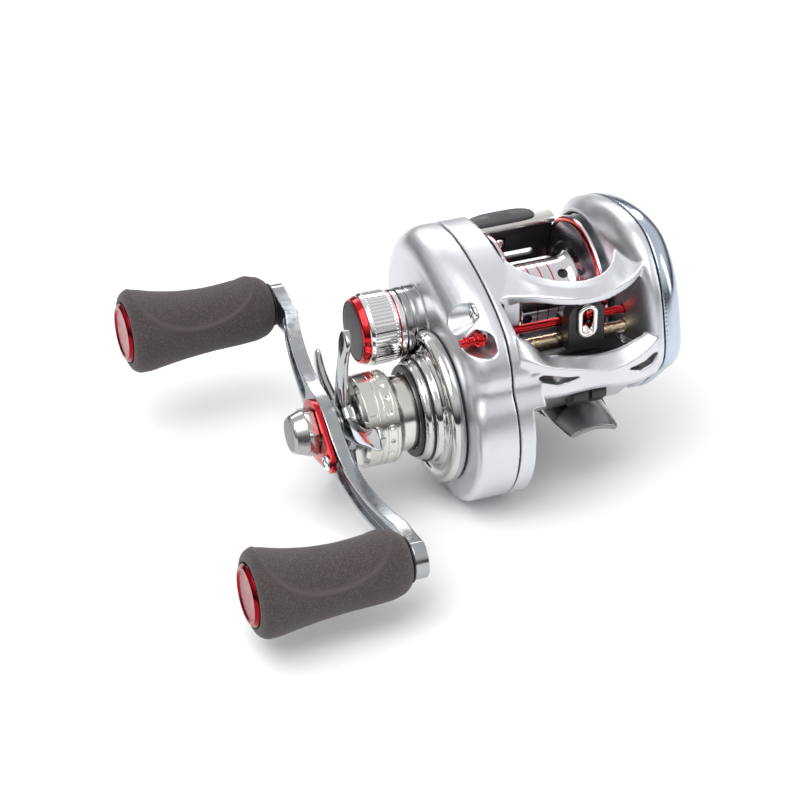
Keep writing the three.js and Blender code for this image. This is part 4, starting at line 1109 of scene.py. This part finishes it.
def palm_ring():
    """Ring that flares from the spool's rim out to the palm-side outline."""
    rim_r = 18.3
    around = 240
    turns = 2 * np.pi * np.arange(around) / around
    loop_turns = np.unwrap(np.arctan2(PALM_SIDE[:, 1], PALM_SIDE[:, 0]))
    loop_r = np.hypot(PALM_SIDE[:, 0], PALM_SIDE[:, 1])
    order = np.argsort(loop_turns % (2 * np.pi))
    known = (loop_turns % (2 * np.pi))[order]
    reach = np.interp(turns, known, loop_r[order], period=2 * np.pi)
    rows = []
    for x in np.concatenate([np.linspace(PALM_IN, PALM_IN + 4.4, 16), [PALM_SEAM]]):
        t = min(1.0, (x - PALM_IN) / 4.4)
        towards_rail = np.exp(-((np.degrees(turns) - 132) / 22) ** 2)
        share = math.sin(t * math.pi / 2) ** (0.9 - 0.55 * towards_rail)
        radius = rim_r + (reach - rim_r) * share
        rows.append([(x, r * math.cos(a), r * math.sin(a)) for a, r in zip(turns, radius)])
    return loft(rows)


def gear_plate():
    """Wall between the gears and the spool, deeper behind the level wind and cut back in front."""
    room = inset(GEAR_SIDE, WALL)
    deep = common(prism_x(room, SEAM - 1, -14.2), block(-30, 0, -20.3, 40, -60, 40))
    window_side = [(-15.0, 0.4), (-17.6, 14.0), (-17.6, 20), (-10, 20), (-10, 0.4)]
    return built([prism_x(GEAR_SIDE, SEAM, PLATE_IN)],
                 [prism_x(room, SEAM - 1, -16.6), solid_of(deep), prism_y(window_side, -40, -20.6),
                  block(-15.5, -10, -50, 8, -60, -6.4)])


def make_frame():
    floor = block(-13.5, 13.5, -17.5, 12.0, -19.3, -17.6)
    chin_side = [(-28.6, -9.0), (-27.0, -9.0), (-17.4, -17.6), (-17.4, -19.3), (-18.6, -19.3)]
    chin = prism_x(chin_side, -13.5, 13.5)
    rear = prism_x([*arc((0, 0), 17.6, -17, -56, 12), (9.8, -19.3), (13.6, -16.4), (19.4, -8.6),
                    (20.6, -5.2)], -13.5, 13.5)
    mesh = joined(gear_plate(), [palm_ring(), top_rail(), front_bar(), floor, chin, rear])
    slot_outlines = [
        [(-13.7, -0.3), (-10.9, -0.5), (-6.8, -1.9), (-2.4, -2.4), (-5.2, -3.3), (-8.2, -3.7), (-11.3, -2.6)],
        [(8.7, -3.2), (12.1, -4.4), (14.9, -3.4), (16.7, -0.7), (15.3, -0.8), (12.8, -2.3)],
    ]
    slots = [prism_y(eased(outline, 0.4), -40, -20) for outline in slot_outlines]
    mesh = cut(mesh, [
        rod(-15, -12, 5.1), rod(-15, -13, 4.1, MAIN),  # bearings
        rod(-17, -12, 2.2, WORM), rod(12, 15.4, 1.58, WORM),
        rod(-16, -12, 1.08, ROD), rod(12, 16.4, 1.08, ROD),
        rod(11, 30, 17.35, SPOOL, 192),  # the spool comes out towards the palm
        *(pillar(FOOT_X, y, -20, -17, 1.3) for y in FOOT_SCREWS.values()),
        prism_x(inset(PALM_SIDE, 2.6), 16.1, 25), *slots,
    ])
    piece("main_frame", cast(mesh, 0.25, 8), "frame", "satin_aluminium", ["frame"], sharp=60)


# ---- foot and thumb bar

def make_foot():
    """Foot plate, arched at its two tips, and the two screws that hold it from below."""
    low, high = corners("reel_foot")
    cx = (low.x + high.x) / 2
    half = (high.y - low.y) / 2
    thick = high.z - low.z
    rows = []
    outer_r, inner_r = 12.2, 10.9
    for y in np.linspace(-half, half, 121):
        t = abs(y)
        width = 8.6 if t < 12 else 8.6 + (6.05 - 8.6) * (t - 12) / (half - 13)
        width = min(8.6, max(5.0, width))
        end = max(0.0, (t - (half - 1.0)) / 1.0)
        width *= 1 - 0.14 * end ** 2
        arch = min(1.0, max(0.0, (t - 12.2) / 1.4))
        section = []
        for x in np.linspace(-width, width, 21):
            top = thick - outer_r + math.sqrt(outer_r ** 2 - x * x)
            section.append((cx + x, y, low.z + top))
        for x in np.linspace(width, -width, 21):
            hollow = thick - outer_r + math.sqrt(max(0, inner_r ** 2 - x * x))
            section.append((cx + x, y, low.z + arch * max(0.0, hollow)))
        rows.append(section)
    mesh = mesh_of(loft(rows), "foot")
    cutters = [block(cx - 20, cx + 20, -14, 12.6, -19.6, -10)]
    for y in FOOT_SCREWS.values():
        cutters += [pillar(cx, y, low.z - 1, 0, 1.35), pillar(cx, y, low.z - 1, low.z + 1.2, 2.3)]
    piece("foot_plate", cast(cut(mesh, cutters), 0.22, 4), "frame", "foot_metal", ["reel_foot"], sharp=60)
    for name, y in FOOT_SCREWS.items():
        head = phillips(0, (0, 0), 2.05, 3.2)
        head.transform(Matrix.Rotation(math.radians(-90), 4, "Y"))
        head.transform(Matrix.Translation((cx, y, low.z + 0.2)))
        piece(f"foot_bolt_{name}", head, "frame", "chrome", [f"foot_screw_{name}"])


def make_thumb_bar():
    """Thumb bar, its rubber pad, and the slide plate with its screw."""
    x0, x1 = across("thumb_bar")
    rows = []
    for x in np.linspace(x0, x1, 60):
        t = (x - x0) / (x1 - x0)
        rise = 0.25 * math.sin(math.pi * t)
        edge = 0.9 * max(0.0, t - 0.8) / 0.2
        lift = 0.3 * max(0.0, (t - 0.74) / 0.26) ** 1.7
        loop = eased([(16.2, 9.1), (16.8, 8.4), (21.6, 8.4), (22.2 - edge, 9.6), (21.2, 10.6 + rise),
                      (16.9, 10.1 + rise)], 0.5)
        rows.append([(x, y, z + lift * (0.35 if z < 9.2 else 1.0)) for y, z in loop])
    piece("thumb_lever", loft(rows), "thumb_bar", "chrome", ["thumb_bar"], "thumb", 40)
    low, high = corners("thumb_pad")
    count = 48
    rows = []
    for u in np.linspace(0, 1, 10):
        shrink = 1 - 0.16 * u ** 3
        row = []
        for k in range(count):
            t = 2 * math.pi * k / count
            c, s = math.cos(t), math.sin(t)
            x = (low.x + high.x) / 2 + (high.x - low.x) / 2 * shrink * math.copysign(abs(c) ** 0.55, c)
            y = (low.y + high.y) / 2 + (high.y - low.y) / 2 * shrink * math.copysign(abs(s) ** 0.7, s)
            slope = 0.116 * (y - low.y)
            crown = 0.5 * (1 - ((x - low.x) / (high.x - low.x) * 2 - 1) ** 2)
            row.append((x, y, low.z - 0.3 + slope + u * (0.75 + crown * 0.6)))
        rows.append(row)
    piece("thumb_rubber", loft(rows), "thumb_bar", "pad_rubber", ["thumb_pad"], sharp=50)
    low, high = corners("clutch_slide_plate")
    slot = prism_y(eased([(-7, 0.5), (7, 0.5), (7, 2.2), (-7, 2.2)], 0.7), 15, 20)
    plate = built([block(low.x, high.x, low.y, high.y, low.z, high.z)],
                  [slot, block(-3.0, 0.0, 17, 18.6, 3.2, 6.4)])
    piece("slide_plate", bevelled(plate, 0.15), "thumb_bar", "black_plastic", ["clutch_slide_plate"])
    screw = phillips(0, (0, 0), 1.25, 1.4, 0.4)
    screw.transform(Matrix.Rotation(math.radians(90), 4, "Z"))
    s_low, s_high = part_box("slide_plate_screw")
    middle = in_reel((s_low + s_high) / 2)
    screw.transform(Matrix.Translation((middle.x, in_reel(s_low).y - 0.1, middle.z)))
    piece("slide_screw", screw, "thumb_bar", "chrome", ["slide_plate_screw"])


def make_nose_cover():
    x0, x1 = across("nose_cover")
    nose = eased([(-27.6, -9.4), (-29.0, -9.9), (-29.0, -11.8), (-25.8, -14.9), (-24.6, -13.7)], 0.5)
    slot = block((x0 + x1) / 2 - 0.5, (x0 + x1) / 2 + 0.5, -30.5, -27.6, -16, -9)
    mesh = bevelled(built([prism_x(nose, x0, x1)], [slot]), 0.12)
    piece("nose_block", mesh, "frame", "black_plastic", ["nose_cover"])


# ---- studio

def make_studio():
    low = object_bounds()[0]
    floor_z = low[2] - 0.0006
    bpy.ops.mesh.primitive_plane_add(size=6, location=(0, 0, floor_z))
    floor = bpy.context.object
    floor.name = "studio_floor"
    paper = Look("pale_paper", (0.93, 0.93, 0.935), 0.0, 0.6)
    paper.vary_roughness(paper.noise(40, 3), 0.05)
    floor.data.materials.append(paper.material)

    world = bpy.data.worlds.new("studio")
    world.use_nodes = True
    bpy.context.scene.world = world
    tree = world.node_tree
    split = add_node(tree, "SeparateXYZ", Vector=add_node(tree, "TexCoord").outputs["Generated"])
    height = add_node(tree, "Math")
    height.operation = "MULTIPLY_ADD"
    height.inputs[1].default_value = 0.5
    height.inputs[2].default_value = 0.5
    tree.links.new(split.outputs["Z"], height.inputs[0])
    ramp = add_node(tree, "ValToRGB", Fac=height.outputs[0])
    stops = [(0.0, 0.7), (0.48, 0.6), (0.5, 0.05), (0.57, 0.06), (0.66, 0.5), (0.76, 1.0), (1.0, 0.9)]
    for k, (position, grey) in enumerate(stops):
        element = ramp.color_ramp.elements[k] if k < 2 else ramp.color_ramp.elements.new(position)
        element.position = position
        element.color = (grey, grey, grey * 1.01, 1)
    background = tree.nodes["Background"]
    background.inputs["Strength"].default_value = 0.85
    tree.links.new(ramp.outputs["Color"], background.inputs["Color"])
    bpy.context.scene.view_settings.view_transform = "Standard"
    bpy.context.scene.view_settings.look = "None"

    def area(name, place_at, size, power, aim=(0.0, 0.0, 0.01)):
        """Rectangular light that looks at the object."""
        light = bpy.data.lights.new(name, "AREA")
        light.shape = "RECTANGLE"
        light.size, light.size_y = size
        light.energy = power
        holder = bpy.data.objects.new(name, light)
        bpy.context.scene.collection.objects.link(holder)
        towards = (Vector(aim) - Vector(place_at)).to_track_quat("-Z", "Y")
        holder.matrix_world = Matrix.Translation(place_at) @ towards.to_matrix().to_4x4()

    area("key_light", (-0.4, -0.25, 0.9), (0.8, 0.8), 7.0)
    area("fill_light", (0.6, -0.5, 0.4), (0.2, 0.6), 1.2)
    area("back_light", (0.1, 0.8, 0.5), (0.8, 0.2), 2.2)


def make_camera():
    """Camera at the photograph's viewing angle: turned, raised and slightly rolled."""
    turn, rise, roll = math.radians(-20.5), math.radians(32.05), math.radians(-0.5)
    distance, right_shift, up_shift = 677.57, -31.27, -24.31
    focal, sensor, width = 2917.4, 36.0, 800
    back = Vector((math.sin(turn) * math.cos(rise), -math.cos(turn) * math.cos(rise), math.sin(rise)))
    level = Vector((math.cos(turn), math.sin(turn), 0))
    upright = back.cross(level)
    right = level * math.cos(roll) + upright * math.sin(roll)
    up = -level * math.sin(roll) + upright * math.cos(roll)
    at = CENTRE + (back * distance + right * right_shift + up * up_shift) * MM
    camera = bpy.data.cameras.new("photo_camera")
    camera.sensor_width = sensor
    camera.lens = focal / width * sensor
    camera.clip_start = 0.01
    camera.clip_end = 20
    holder = bpy.data.objects.new("photo_camera", camera)
    bpy.context.scene.collection.objects.link(holder)
    holder.matrix_world = Matrix((
        (right.x, up.x, back.x, at.x), (right.y, up.y, back.y, at.y),
        (right.z, up.z, back.z, at.z), (0, 0, 0, 1)))
    bpy.context.scene.camera = holder


make_camera()
dress_frame_nodes()
for grip_side in ("upper", "lower"):
    make_knob(grip_side)
make_arm()
make_handle_fittings()
make_star()
make_barrel()
make_bezel()
make_cast_control()
make_spool()
make_level_wind()
make_line_guide()
make_handle_side_cover()
make_keeper()
make_palm_cover()
make_brake_dial()
make_frame()
make_foot()
make_thumb_bar()
make_nose_cover()
make_studio()
